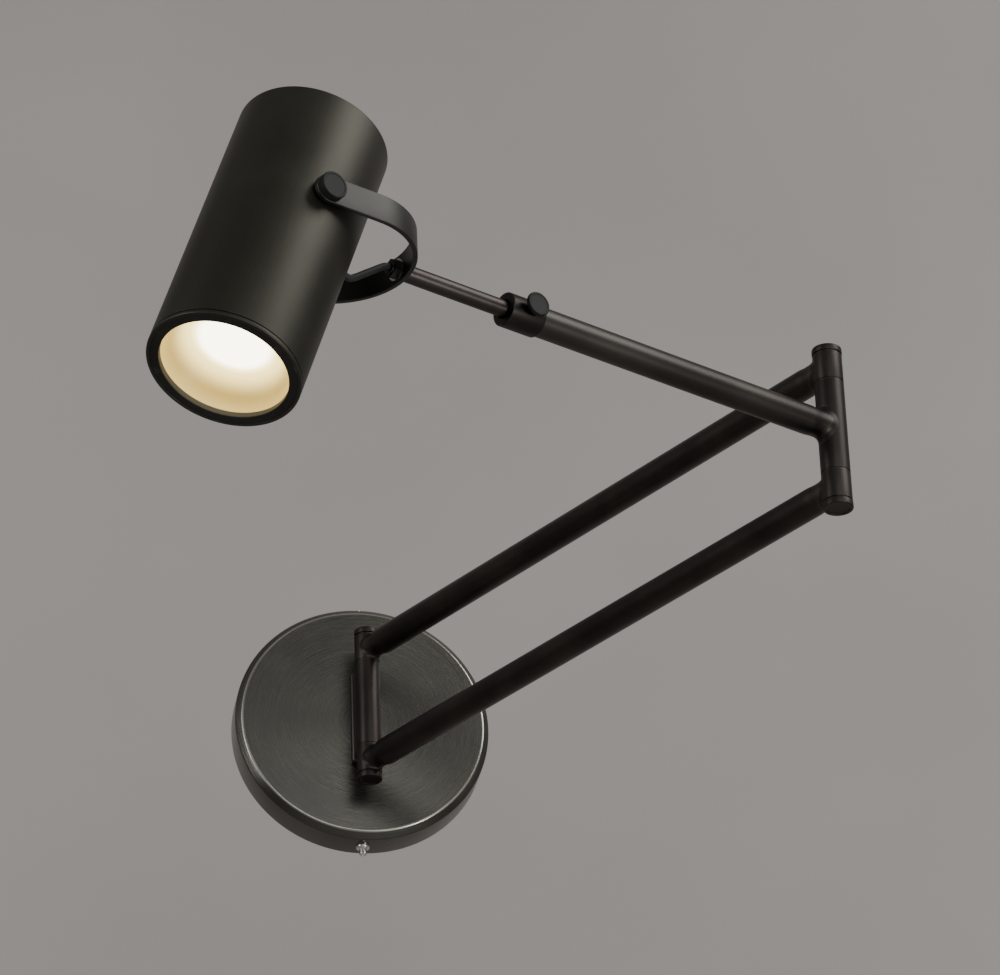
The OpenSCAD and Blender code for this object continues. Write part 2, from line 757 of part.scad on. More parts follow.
module back_cap() {
  color([0.06, 0.06, 0.06]) at_shade() translate([0, 0, back_cap_in - shade_back])
    difference() {
      union() {
        cylinder(r = shade_in_r - press_gap, h = back_cap_t);
        translate([0, 0, back_cap_t - cut])
          tube(shade_in_r - press_gap, shade_in_r - 1.4, back_cap_rim + cut);
      }
      for (a = [0:45:315]) rotate([0, 0, a])
        translate([vent_at, -vent[1] / 2, -cut]) cube([vent[0], vent[1], back_cap_t + 2 * cut]);
      for (n = [1:3]) rotate([0, 0, cap_screw_turn(n)])
        translate([shade_in_r - cap_screw_in, 0, -cut])
          cylinder(r = cap_screw_r + press_gap, h = back_cap_t + 2 * cut);
    }
}

// Screw n of three
module back_cap_screw(n) {
  color([0.30, 0.30, 0.29]) at_shade() rotate([0, 0, cap_screw_turn(n)])
    translate([shade_in_r - cap_screw_in, 0, back_cap_in - shade_back]) difference() {
      union() {
        translate([0, 0, -cap_screw_head_t]) turned_disc(cap_screw_head_r, cap_screw_head_t, 0.3);
        cylinder(r = cap_screw_r, h = back_cap_t + 4);
      }
      translate([-cap_screw_head_r - cut, -cap_screw_slot / 2, -cap_screw_head_t - cut])
        cube([2 * (cap_screw_head_r + cut), cap_screw_slot, cut + 0.5]);
    }
}

module pivot_insert(side) {
  color([0.70, 0.58, 0.32]) at_shade() rotate([-90 * side, 0, 0]) difference() {
    union() {
      translate([0, 0, insert_seat - insert_flange_t])
        cylinder(r = insert_flange_r, h = insert_flange_t);
      translate([0, 0, insert_seat - cut])
        cylinder(r = insert_r, h = shade_r - 0.1 - insert_seat + cut);
    }
    translate([0, 0, insert_seat - insert_flange_t - cut])
      cylinder(r = knob_screw_r + running_gap, h = shade_r);
  }
}

module lead_grommet() {
  inner = sqrt(shade_in_r * shade_in_r - grommet_flange_r * grommet_flange_r) - face_gap;
  color([0.04, 0.04, 0.04]) at_shade() difference() {
    union() {
      bar_x(grommet_flange_r, shade_r + face_gap, shade_r + 1);
      bar_x(grommet_r - press_gap, inner - 1, shade_r + 1);
      bar_x(grommet_flange_r, inner - 1, inner);
    }
    bar_x(lead_r + 0.15, inner - 2, shade_r + 2);
  }
}

// Thumb screw through the yoke and into the shade
module tilt_knob(side) {
  color([0.05, 0.05, 0.05]) at_tilt_axis() rotate([-90 * side, 0, 0]) {
    translate([0, 0, insert_seat - insert_flange_t])
      cylinder(r = knob_screw_r, h = yoke_r + 2 * face_gap - insert_seat + insert_flange_t);
    translate([0, 0, yoke_r + face_gap]) turned_disc(tilt_knob_d / 2, tilt_knob_t, 0.3);
  }
}

canopy();
mounting_bar();
ground_screw();
terminal_block();
wire_bush();
canopy_screw(1);  // canopy_screw_top
canopy_screw(-1);  // canopy_screw_bottom
canopy_nut(1);  // canopy_nut_top
canopy_nut(-1);  // canopy_nut_bottom
pivot_bracket();
bracket_screw(1);  // bracket_screw_top
bracket_screw(-1);  // bracket_screw_bottom
wall_bush(1);  // wall_bush_top
wall_bush(-1);  // wall_bush_bottom
arm_tube(1);  // upper_arm_tube
arm_tube(-1);  // lower_arm_tube
wall_fitting(1);  // wall_fitting_top
wall_fitting(-1);  // wall_fitting_bottom
elbow_fitting(1);  // elbow_fitting_top
elbow_fitting(-1);  // elbow_fitting_bottom
wall_pin();
elbow_pin();
wall_cap(1);  // wall_cap_top
wall_cap(-1);  // wall_cap_bottom
elbow_cap(1);  // elbow_cap_top
elbow_cap(-1);  // elbow_cap_bottom
elbow_knuckle();
elbow_bush(1);  // elbow_bush_top
elbow_bush(-1);  // elbow_bush_bottom
forearm_tube();
rod_collar();
rod_lock_knob();
slide_rod();
rod_stop();
yoke_nut();
yoke_washer();
yoke_strap();
tilt_washer(1);  // tilt_washer_near
tilt_washer(-1);  // tilt_washer_far
lamp_lead();
shade_shell();
front_bezel();
reflector();
lamp_lens();
lamp_body();
lamp_holder();
lamp_carrier();
back_cap();
back_cap_screw(1);  // back_cap_screw_1
back_cap_screw(2);  // back_cap_screw_2
back_cap_screw(3);  // back_cap_screw_3
pivot_insert(1);  // pivot_insert_near
pivot_insert(-1);  // pivot_insert_far
lead_grommet();
tilt_knob(1);  // tilt_knob_near
tilt_knob(-1);  // tilt_knob_far
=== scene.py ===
"""Swing arm wall sconce: finished meshes, materials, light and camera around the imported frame."""

import json
import logging
import math
from dataclasses import dataclass
from enum import Enum
from typing import Callable, Iterable, Sequence

import bmesh
import bpy
from mathutils import Matrix, Vector


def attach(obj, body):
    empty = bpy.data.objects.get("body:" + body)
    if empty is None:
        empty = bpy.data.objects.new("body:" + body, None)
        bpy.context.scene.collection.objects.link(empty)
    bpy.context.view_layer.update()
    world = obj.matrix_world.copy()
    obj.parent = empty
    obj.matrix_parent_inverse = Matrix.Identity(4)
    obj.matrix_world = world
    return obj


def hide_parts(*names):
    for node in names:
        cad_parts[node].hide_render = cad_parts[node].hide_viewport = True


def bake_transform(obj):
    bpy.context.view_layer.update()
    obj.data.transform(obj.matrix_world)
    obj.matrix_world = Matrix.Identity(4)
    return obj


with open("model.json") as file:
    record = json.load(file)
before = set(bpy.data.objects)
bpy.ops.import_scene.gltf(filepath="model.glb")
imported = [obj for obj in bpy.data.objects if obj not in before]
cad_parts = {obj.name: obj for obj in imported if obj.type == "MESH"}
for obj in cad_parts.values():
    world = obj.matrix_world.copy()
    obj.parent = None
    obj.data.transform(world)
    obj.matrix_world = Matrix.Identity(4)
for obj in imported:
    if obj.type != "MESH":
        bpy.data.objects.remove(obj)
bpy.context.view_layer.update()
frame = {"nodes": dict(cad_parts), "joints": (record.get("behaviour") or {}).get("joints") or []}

LOG = logging.getLogger("sconce")
MM = 0.001
BUMP_HEIGHT = 0.1 * MM  # how deep a mark of full strength is
STREAK = 90  # how many times longer than wide a brushed mark is
MOTTLE_STEP, MOTTLE_SHARE = (0.35, 0.7), 0.7  # where mottling turns to the tint, and its share of it
MARKS_STEP, MARKS_SHARE = (0.4, 0.75), 0.3  # the same for the fine marks
EDGE_WEAR_AND_HIGHLIGHT_STEP = (0.51, 0.60)  # how sharp an edge starts to be painted lighter, as edge wear and painted highlight, and where it is fully so
HIGHLIGHT_RING_FALL, HIGHLIGHT_RING_SHARE = 2.2, 0.5  # how fast the painted highlight ring fades out, and how bright it is
ON_AXIS = 1e-4  # a radius below this, in millimetres, is a point on the axis
WALL_BARREL = 5.8  # outer radius of the wall pivot's barrel
ELBOW_BARREL = 6.35  # outer radius of the elbow's barrel
FREE_GAP = 0.05  # gap between parts that slide or turn
LEAD_SIDES = 20
Colour = tuple[float, float, float]
Outline = list[tuple[float, float]]


# ---- Places ----

@dataclass(frozen=True)
class Axes:
    """A place on the object: an origin in metres and three directions at right angles."""

    origin: Vector
    x: Vector
    y: Vector
    z: Vector

    def matrix(self) -> Matrix:
        """Turns millimetres in these axes into metres in the row frame."""
        turn = Matrix((self.x, self.y, self.z)).transposed().to_4x4()
        return Matrix.Translation(self.origin) @ turn @ Matrix.Scale(MM, 4)

    def at(self, x: float, y: float, z: float) -> Vector:
        """The row-frame point, in metres, of a point given in millimetres in these axes."""
        return self.matrix() @ Vector((x, y, z))

    def moved(self, x: float, y: float = 0, z: float = 0) -> "Axes":
        """The same directions from another origin, given in millimetres in these axes."""
        return Axes(self.at(x, y, z), self.x, self.y, self.z)

    def along_x(self) -> "Axes":
        """The same place with Z laid along the old X, for what is turned about X."""
        return Axes(self.origin, self.y, self.z, self.x)

    def along_y(self) -> "Axes":
        """The same place with Z laid along the old Y."""
        return Axes(self.origin, self.z, self.x, self.y)

    def flipped(self) -> "Axes":
        """Half a turn about X, for the lower or the far one of a pair."""
        return Axes(self.origin, self.x, -self.y, -self.z)


@dataclass(frozen=True)
class Layout:
    """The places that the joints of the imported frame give."""

    shade_angle: float = 69.7  # degrees from the rod down to the shade's axis

    def joint(self, name: str) -> dict:
        """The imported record's joint of that name."""
        return next(j for j in frame["joints"] if j["name"] == name)

    def wall(self) -> Axes:
        """Z out of the wall, Y up, from the canopy's centre."""
        return Axes(Vector((0, 0, 0)), Vector((1, 0, 0)), Vector((0, 0, 1)), Vector((0, -1, 0)))

    def pivot(self) -> Axes:
        """The wall pivot.

        Returns:
            Axes with X along the double arm and Z up.
        """
        origin = Vector(self.joint("wall_swing")["pos_m"])
        along = (Vector(self.joint("elbow_swing")["pos_m"]) - origin).normalized()
        up = Vector((0, 0, 1))
        return Axes(origin, along, up.cross(along), up)

    def elbow(self) -> Axes:
        """The elbow, with X on along the double arm."""
        pivot = self.pivot()
        return Axes(Vector(self.joint("elbow_swing")["pos_m"]), pivot.x, pivot.y, pivot.z)

    def forearm(self) -> Axes:
        """The elbow, as the forearm sees it.

        Returns:
            Axes with X along the forearm and Y on the side of the lock knob.
        """
        along = Vector(self.joint("rod_slide")["axis"]).normalized()
        up = Vector((0, 0, 1))
        return Axes(self.elbow().origin, along, up.cross(along), up)

    def tilt(self) -> Axes:
        """The shade's tilt axis, with X on along the rod."""
        forearm = self.forearm()
        return Axes(Vector(self.joint("shade_tilt")["pos_m"]), forearm.x, forearm.y, forearm.z)

    def shade(self) -> Axes:
        """The tilt axis, as the shade sees it.

        Returns:
            Axes with Z along the shade to its opening and X towards the yoke's bend.
        """
        tilt = self.tilt()
        turn = math.radians(self.shade_angle + 90)
        front = math.sin(turn) * tilt.x + math.cos(turn) * tilt.z
        side = math.cos(turn) * tilt.x - math.sin(turn) * tilt.z
        return Axes(tilt.origin, side, tilt.y, front)


LAYOUT = Layout()


# ---- Node trees ----

class Tree:
    """A node tree being wired, for a material or for geometry."""

    def __init__(self, nodes_of: bpy.types.NodeTree) -> None:
        """Starts from an empty tree."""
        self.tree = nodes_of
        self.tree.nodes.clear()

    def add(self, kind: str, settings: dict | None = None, inputs: dict | None = None) -> bpy.types.Node:
        """Adds one node.

        Args:
            kind: The node's type.
            settings: Its properties, set before its sockets.
            inputs: Values, sockets or Numbers for its sockets, by name or by number.

        Returns:
            The new node.
        """
        node = self.tree.nodes.new(kind)
        for name, value in (settings or {}).items():
            setattr(node, name, value)
        for name, value in (inputs or {}).items():
            self.feed(node.inputs[name], value)
        return node

    def feed(self, socket: bpy.types.NodeSocket, value: object) -> None:
        """Links a socket or a Number to a socket, or sets its value.

        Args:
            socket: The socket to fill.
            value: A Number, another socket or a plain value.
        """
        if isinstance(value, Number):
            value = value.socket
        if isinstance(value, bpy.types.NodeSocket):
            self.tree.links.new(value, socket)
        else:
            socket.default_value = value

    def number(self, socket: bpy.types.NodeSocket) -> "Number":
        """Wraps a socket so that it takes part in an expression."""
        return Number(self, socket)

    def local(self, axes: Axes) -> tuple["Number", "Number", "Number"]:
        """Object coordinates measured along a piece's own axes.

        Args:
            axes: The piece's axes.

        Returns:
            Its X, Y and Z, in millimetres.
        """
        here = self.add("ShaderNodeTexCoord").outputs["Object"]
        away = self.add("ShaderNodeVectorMath", {"operation": "SUBTRACT"}, {0: here, 1: axes.origin})
        parts = []
        for direction in (axes.x, axes.y, axes.z):
            dot = self.add("ShaderNodeVectorMath", {"operation": "DOT_PRODUCT"},
                           {0: away.outputs[0], 1: direction / MM})
            parts.append(self.number(dot.outputs["Value"]))
        return parts[0], parts[1], parts[2]

    def vector(self, x: object, y: object, z: object) -> bpy.types.NodeSocket:
        """Joins three numbers into a vector."""
        return self.add("ShaderNodeCombineXYZ", None, {"X": x, "Y": y, "Z": z}).outputs[0]

    def noise(self, where: object, scale: float, detail: float = 2.0, seed: float = 0.0) -> "Number":
        """Smooth noise from 0 to 1.

        Args:
            where: The place in the pattern.
            scale: How fine it is.
            detail: How many finer layers are added.
            seed: The fourth coordinate, which gives another pattern.

        Returns:
            The noise.
        """
        node = self.add("ShaderNodeTexNoise", {"noise_dimensions": "4D"},
                        {"Vector": where, "W": seed, "Scale": scale, "Detail": detail})
        return self.number(node.outputs[0])

    def mix(self, share: object, first: object, second: object) -> bpy.types.NodeSocket:
        """Mixes two colours.

        Args:
            share: 0 for the first colour, 1 for the second.
            first: A colour or a socket.
            second: A colour or a socket.

        Returns:
            The mixed colour's socket.
        """
        a, b = [(*c, 1.0) if isinstance(c, tuple) else c for c in (first, second)]
        node = self.add("ShaderNodeMix", {"data_type": "RGBA"}, {0: share, 6: a, 7: b})
        return node.outputs[2]


class Number:
    """A number that flows through a node tree, used in plain expressions."""

    def __init__(self, tree: Tree, socket: bpy.types.NodeSocket) -> None:
        """Keeps the tree and the socket that the number comes from."""
        self.tree = tree
        self.socket = socket

    def math(self, operation: str, *values: object) -> "Number":
        """Adds a Math node on these values and returns what it gives."""
        node = self.tree.add("ShaderNodeMath", {"operation": operation}, dict(enumerate(values)))
        return Number(self.tree, node.outputs[0])

    def __add__(self, other: object) -> "Number":
        """Sum."""
        return self.math("ADD", self, other)

    def __radd__(self, other: object) -> "Number":
        """Sum, with the number on the right."""
        return self.math("ADD", other, self)

    def __sub__(self, other: object) -> "Number":
        """Difference."""
        return self.math("SUBTRACT", self, other)

    def __rsub__(self, other: object) -> "Number":
        """Difference, with the number on the right."""
        return self.math("SUBTRACT", other, self)

    def __mul__(self, other: object) -> "Number":
        """Product."""
        return self.math("MULTIPLY", self, other)

    def __rmul__(self, other: object) -> "Number":
        """Product, with the number on the right."""
        return self.math("MULTIPLY", other, self)

    def __pow__(self, other: object) -> "Number":
        """Power."""
        return self.math("POWER", self, other)

    def between(self, low: float, high: float) -> "Number":
        """A smooth step.

        Args:
            low: Where the step is still 0.
            high: Where it has reached 1.

        Returns:
            The step.
        """
        node = self.tree.add("ShaderNodeMapRange", {"interpolation_type": "SMOOTHSTEP"},
                             {0: self, 1: low, 2: high, 3: 0.0, 4: 1.0})
        return Number(self.tree, node.outputs[0])


# ---- Finishes ----

class Grain(Enum):
    """Which way the fine marks of a finish run, in the axes of the piece."""

    FINE = "a fine grain with no direction"
    ALONG = "brushed along Z"
    ROUND = "turned, with marks that run round Z"
    RINGS = "faced, with rings round Z"


@dataclass(frozen=True)
class Metal:
    """A metal finish with brushed or blasted marks, mottling, and sharp edges painted lighter as edge wear
    and painted highlight.
    """

    name: str
    colour: Colour
    tint: Colour
    roughness: float
    metallic: float = 1.0
    grain: Grain = Grain.FINE
    marks: float = 3.0  # marks per millimetre across the grain
    depth: float = 0.12
    spread: float = 0.08  # how much roughness changes over the surface
    patches: float = 30.0  # size of the mottling, per metre
    edge: float = 0.0  # how far sharp edges are painted lighter, as edge wear and painted highlight
    wear_and_highlight_colour: Colour = (0.20, 0.19, 0.17)  # the colour painted on sharp edges, as wear and painted highlight, and on the painted highlight ring
    gloss: float = 0.5  # how strongly the part that isn't metal shines
    ring: float = 0.0  # radius, in millimetres, of a painted highlight: a bright line round a turned edge

    def where(self, tree: Tree, axes: Axes) -> bpy.types.NodeSocket:
        """The place in the marks' pattern, stretched the way that the marks run.

        Args:
            tree: The material's tree.
            axes: The piece's axes.

        Returns:
            The place as a vector.
        """
        x, y, z = tree.local(axes)
        fine, slow = self.marks, self.marks / STREAK
        if self.grain is Grain.ALONG:
            return tree.vector(x * fine, y * fine, z * slow)
        if self.grain is Grain.ROUND:
            return tree.vector(x * slow, y * slow, z * fine)
        if self.grain is Grain.RINGS:
            radius = (x * x + y * y) ** 0.5
            return tree.vector(radius * fine, x * slow, y * slow)
        return tree.vector(x * fine, y * fine, z * fine)

    def dress(self, axes: Axes) -> bpy.types.Material:
        """Makes the material.

        Args:
            axes: Where the pattern is measured from.

        Returns:
            The material.
        """
        material = bpy.data.materials.new(f"{self.name}_finish")
        material.use_nodes = True
        tree = Tree(material.node_tree)
        object_place = tree.add("ShaderNodeTexCoord").outputs["Object"]
        marks = tree.noise(self.where(tree, axes), 1.0, 3.0)
        mottle = tree.noise(object_place, self.patches, 4.0, 2.5)
        share = mottle.between(*MOTTLE_STEP) * MOTTLE_SHARE + marks.between(*MARKS_STEP) * MARKS_SHARE
        shade = tree.mix(share, self.colour, self.tint)
        # Sharp edges painted lighter: partly edge wear, partly painted highlight.
        if self.edge:
            bend = tree.number(tree.add("ShaderNodeNewGeometry").outputs["Pointiness"])
            shade = tree.mix(bend.between(*EDGE_WEAR_AND_HIGHLIGHT_STEP) * self.edge, shade, self.wear_and_highlight_colour)
        # A painted highlight: a bright line round the axis at the given radius.
        if self.ring:
            x, y, _ = tree.local(axes)
            away = (x * x + y * y) ** 0.5 - self.ring
            shade = tree.mix((1.0 - away * away * HIGHLIGHT_RING_FALL).between(0.0, 1.0) * HIGHLIGHT_RING_SHARE, shade, self.wear_and_highlight_colour)
        shader = tree.add("ShaderNodeBsdfPrincipled", None, {
            "Base Color": shade,
            "Metallic": self.metallic,
            "Specular IOR Level": self.gloss,
            "Roughness": (marks - 0.5) * self.spread + (mottle - 0.5) * self.spread + self.roughness})
        bump = tree.add("ShaderNodeBump", None, {
            "Strength": self.depth, "Distance": BUMP_HEIGHT, "Height": marks})
        tree.feed(shader.inputs["Normal"], bump.outputs[0])
        out = tree.add("ShaderNodeOutputMaterial")
        tree.feed(out.inputs["Surface"], shader.outputs[0])
        return material


@dataclass(frozen=True)
class Plastic:
    """A moulded or rubbery finish with a fine grain."""

    name: str
    colour: Colour
    tint: Colour
    roughness: float
    grain: float = 2.0  # grain per millimetre
    depth: float = 0.15

    def dress(self, axes: Axes) -> bpy.types.Material:
        """Makes the material.

        Args:
            axes: Where the pattern is measured from.

        Returns:
            The material.
        """
        material = bpy.data.materials.new(f"{self.name}_finish")
        material.use_nodes = True
        tree = Tree(material.node_tree)
        grain = tree.noise(tree.vector(*tree.local(axes)), self.grain, 3.0)
        soft = tree.noise(tree.vector(*tree.local(axes)), self.grain / 40, 2.0, 4.0)
        bump = tree.add("ShaderNodeBump", None, {
            "Strength": self.depth, "Distance": BUMP_HEIGHT, "Height": grain})
        shader = tree.add("ShaderNodeBsdfPrincipled", None, {
            "Base Color": tree.mix(soft.between(0.3, 0.7), self.colour, self.tint),
            "Roughness": (grain - 0.5) * 0.1 + self.roughness,
            "Normal": bump.outputs[0]})
        out = tree.add("ShaderNodeOutputMaterial")
        tree.feed(out.inputs["Surface"], shader.outputs[0])
        return material


@dataclass(frozen=True)
class Glowing:
    """A surface that glows, brightest at its middle and amber towards its rim: the lamp's own lit lens, and
    the reflector, whose glow is painted light for the lamp's light reflected off it.
    """

    name: str
    colour: Colour
    inner: Colour
    outer: Colour
    near: float  # radius, in millimetres, where the inner colour ends
    far: float  # radius where the outer colour begins
    strength: float
    roughness: float = 0.45

    def dress(self, axes: Axes) -> bpy.types.Material:
        """Makes the material.

        Args:
            axes: The lamp's axes, with the glow measured from Z.

        Returns:
            The material.
        """
        material = bpy.data.materials.new(f"{self.name}_finish")
        material.use_nodes = True
        tree = Tree(material.node_tree)
        x, y, z = tree.local(axes)
        radius = (x * x + y * y) ** 0.5
        dimples = tree.noise(tree.vector(x, y, z), 1.6, 2.0)
        glow = tree.mix(radius.between(self.near, self.far), self.inner, self.outer)
        bump = tree.add("ShaderNodeBump", None, {
            "Strength": 0.1, "Distance": BUMP_HEIGHT, "Height": dimples})
        shader = tree.add("ShaderNodeBsdfPrincipled", None, {
            "Base Color": tree.mix(dimples * 0.3, self.colour, self.outer),
            "Roughness": (dimples - 0.5) * 0.1 + self.roughness,
            # For the lens this emission is the lamp's light; for the reflector it is painted glow.
            "Emission Color": glow,
            "Emission Strength": self.strength,
            "Normal": bump.outputs[0]})
        out = tree.add("ShaderNodeOutputMaterial")
        tree.feed(out.inputs["Surface"], shader.outputs[0])
        return material


# The canopy's bevel carries painted highlight: sharp edges and a ring at 56.9 mm are painted near white.
BRUSHED_GUNMETAL = Metal("brushed_gunmetal", (0.088, 0.088, 0.080), (0.150, 0.146, 0.126), 0.27,
                         grain=Grain.RINGS, marks=4.0, depth=0.55, spread=0.05, patches=10,
                         edge=0.5, wear_and_highlight_colour=(0.66, 0.64, 0.56), ring=56.9)
BLACK_BRONZE = Metal("black_bronze", (0.031, 0.027, 0.025), (0.058, 0.050, 0.044), 0.42,
                     grain=Grain.ALONG, marks=6.0, depth=0.15, edge=0.25)
OLIVE_BRONZE = Metal("olive_bronze", (0.046, 0.045, 0.036), (0.066, 0.064, 0.052), 0.46,
                     grain=Grain.ALONG, marks=5.0, depth=0.30, patches=18, edge=0.3)
GREY_STRAP = Metal("grey_strap", (0.045, 0.045, 0.042), (0.075, 0.074, 0.069), 0.46,
                   depth=0.15, edge=0.35)
BROWN_STEEL = Metal("brown_steel", (0.050, 0.043, 0.041), (0.078, 0.068, 0.064), 0.38,
                    grain=Grain.ROUND, marks=6.0, depth=0.2)
FLAT_BLACK = Metal("flat_black", (0.014, 0.014, 0.013), (0.026, 0.026, 0.025), 0.55, metallic=0.3,
                   depth=0.1, edge=0.3, wear_and_highlight_colour=(0.06, 0.06, 0.058), gloss=0.25)
BRIGHT_NICKEL = Metal("bright_nickel", (0.62, 0.61, 0.58), (0.74, 0.73, 0.70), 0.24,
                      grain=Grain.ROUND, marks=4.0)
PLAIN_STEEL = Metal("plain_steel", (0.50, 0.49, 0.47), (0.62, 0.61, 0.59), 0.34, grain=Grain.ROUND)
ZINC_STEEL = Metal("zinc_steel", (0.52, 0.52, 0.49), (0.66, 0.65, 0.60), 0.38, patches=60)
BEARING_BRONZE = Metal("bearing_bronze", (0.050, 0.042, 0.033), (0.085, 0.070, 0.052), 0.45)
INSERT_BRASS = Metal("insert_brass", (0.66, 0.50, 0.23), (0.78, 0.62, 0.33), 0.30, grain=Grain.ROUND)
GREEN_SCREW = Metal("green_screw", (0.05, 0.22, 0.08), (0.08, 0.32, 0.12), 0.35, metallic=0.4)
LAMP_METAL = Metal("lamp_metal", (0.66, 0.66, 0.64), (0.76, 0.76, 0.74), 0.32, grain=Grain.ROUND)
BLACK_RUBBER = Plastic("black_rubber", (0.012, 0.012, 0.012), (0.022, 0.021, 0.020), 0.62)
WHITE_PLASTIC = Plastic("white_plastic", (0.80, 0.79, 0.75), (0.86, 0.85, 0.81), 0.40)
# The reflector is no lamp: its emission is painted glow, standing in for the lamp's light reflected off the
# bowl.
CREAM_REFLECTOR_PAINTED_GLOW = Glowing("cream_reflector", (0.46, 0.36, 0.15), (4.6, 3.6, 1.3), (0.44, 0.29, 0.05),
                          17, 24.5, 0.75)
LIT_LENS = Glowing("lit_lens", (0.90, 0.86, 0.74), (1.0, 0.92, 0.70), (0.431, 0.338, 0.122),
                   12.5, 17.5, 8.0)


# ---- Meshes ----

def rounded(corners: Sequence[tuple[float, float, float]], closed: bool = False, steps: int = 4) -> Outline:
    """Rounds the corners of an outline.

    Args:
        corners: Each corner's radius and height, and how far its rounding reaches.
        closed: Whether the last corner joins the first.
        steps: How many short edges a rounded corner is made of.

    Returns:
        The outline's points.
    """
    outline: Outline = []
    for i, (r, h, reach) in enumerate(corners):
        end = not closed and i in (0, len(corners) - 1)
        if reach <= 0 or end:
            outline.append((r, h))
            continue
        corner = Vector((r, h))
        back = Vector(corners[i - 1][:2]) - corner
        on = Vector(corners[(i + 1) % len(corners)][:2]) - corner
        start = corner + back.normalized() * min(reach, 0.49 * back.length)
        stop = corner + on.normalized() * min(reach, 0.49 * on.length)
        for k in range(steps + 1):
            u = k / steps
            point = (1 - u) ** 2 * start + 2 * (1 - u) * u * corner + u * u * stop
            outline.append((point.x, point.y))
    return outline


class Shape:
    """A mesh being built, in millimetres, in the axes of its own piece."""

    def __init__(self) -> None:
        """Starts with nothing."""
        self.mesh = bmesh.new()

    def turned(self, outline: Outline, closed: bool = False, steps: int = 96,
               turn: Matrix = Matrix.Identity(4)) -> "Shape":
        """Adds what an outline sweeps as it turns about Z.

        Args:
            outline: Points as (radius, height). An open outline starts and ends on the axis.
            closed: Whether the last point joins the first, as for a ring.
            steps: How many faces go round.
            turn: Where the turned form goes in the piece's axes.

        Returns:
            The shape itself.
        """
        rings = []
        for r, h in outline:
            count = steps if r > ON_AXIS else 1
            angles = [2 * math.pi * k / steps for k in range(count)]
            rings.append([self.mesh.verts.new(turn @ Vector((r * math.cos(a), r * math.sin(a), h)))
                          for a in angles])
        pairs = list(zip(rings, rings[1:] + rings[:1] if closed else rings[1:]))
        for low, high in pairs:
            for k in range(steps):
                ring = [low[k % len(low)], low[(k + 1) % len(low)],
                        high[(k + 1) % len(high)], high[k % len(high)]]
                face = list(dict.fromkeys(ring))
                if len(face) > 2:
                    self.mesh.faces.new(face)
        return self

    def grid(self, rows: Sequence[Sequence[Vector]], closed: bool = False) -> "Shape":
        """Adds a skin over rows of points.

        Args:
            rows: The rows, each one a closed ring.
            closed: Whether the last row joins the first. If not, both ends get a face.

        Returns:
            The shape itself.
        """
        rings = [[self.mesh.verts.new(p) for p in row] for row in rows]
        count = len(rings[0])
        for low, high in zip(rings, rings[1:] + rings[:1] if closed else rings[1:]):
            for k in range(count):
                n = (k + 1) % count
                self.mesh.faces.new([low[k], low[n], high[n], high[k]])
        if not closed:
            self.mesh.faces.new(rings[0][::-1])
            self.mesh.faces.new(rings[-1])
        return self

    def block(self, low: Sequence[float], high: Sequence[float], bevel: float) -> "Shape":
        """Adds a box with rounded edges.

        Args:
            low: Its lowest corner.
            high: Its highest corner.
            bevel: How far the rounding reaches.

        Returns:
            The shape itself.
        """
        size = Vector(high) - Vector(low)
        middle = (Vector(high) + Vector(low)) / 2
        place = Matrix.Translation(middle) @ Matrix.Diagonal((*size, 1))
        made = bmesh.ops.create_cube(self.mesh, size=1, matrix=place)
        edges = {e for v in made["verts"] for e in v.link_edges}
        bmesh.ops.bevel(self.mesh, geom=list(edges), offset=bevel, segments=3, affect="EDGES", profile=0.5)
        return self

    def piece(self, name: str, axes: Axes, body: str, material: bpy.types.Material,
              slot: str, stands_for: Iterable[str] = (), crease: float = 35) -> bpy.types.Object:
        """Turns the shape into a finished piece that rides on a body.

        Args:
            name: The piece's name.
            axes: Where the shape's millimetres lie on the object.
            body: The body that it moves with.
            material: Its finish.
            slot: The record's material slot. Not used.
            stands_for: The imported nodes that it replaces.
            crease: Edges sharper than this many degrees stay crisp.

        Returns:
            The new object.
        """
        bmesh.ops.remove_doubles(self.mesh, verts=self.mesh.verts, dist=ON_AXIS)
        bmesh.ops.recalc_face_normals(self.mesh, faces=self.mesh.faces)
        data = bpy.data.meshes.new(name)
        self.mesh.to_mesh(data)
        self.mesh.free()
        return settle(data, name, axes, body, material, stands_for, crease)


def settle(data: bpy.types.Mesh, name: str, axes: Axes, body: str, material: bpy.types.Material,
           stands_for: Iterable[str] = (), crease: float = 35) -> bpy.types.Object:
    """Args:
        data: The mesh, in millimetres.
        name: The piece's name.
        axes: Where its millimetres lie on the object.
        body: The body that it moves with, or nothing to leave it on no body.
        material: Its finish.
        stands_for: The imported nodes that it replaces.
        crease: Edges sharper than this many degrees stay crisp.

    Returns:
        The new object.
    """
    data.transform(axes.matrix())
    data.materials.clear()
    data.materials.append(material)
    data.shade_smooth()
    data.set_sharp_from_angle(angle=math.radians(crease))
    made = bpy.data.objects.new(name, data)
    bpy.context.scene.collection.objects.link(made)
    if body:
        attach(made, body)
    nodes = tuple(stands_for)
    if nodes:
        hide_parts(*nodes)
    LOG.info("%s rides on %s, %d faces", name, body or "two bodies", len(data.polygons))
    return made


def repaint(material: bpy.types.Material, *nodes: str) -> None:
    """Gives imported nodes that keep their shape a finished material.

    Args:
        material: The finish.
        nodes: The nodes' names.
    """
    for name in nodes:
        for slot in frame["nodes"][name].material_slots:
            slot.material = material
        LOG.info("%s keeps its packed shape", name)


# ---- Geometry Nodes ----

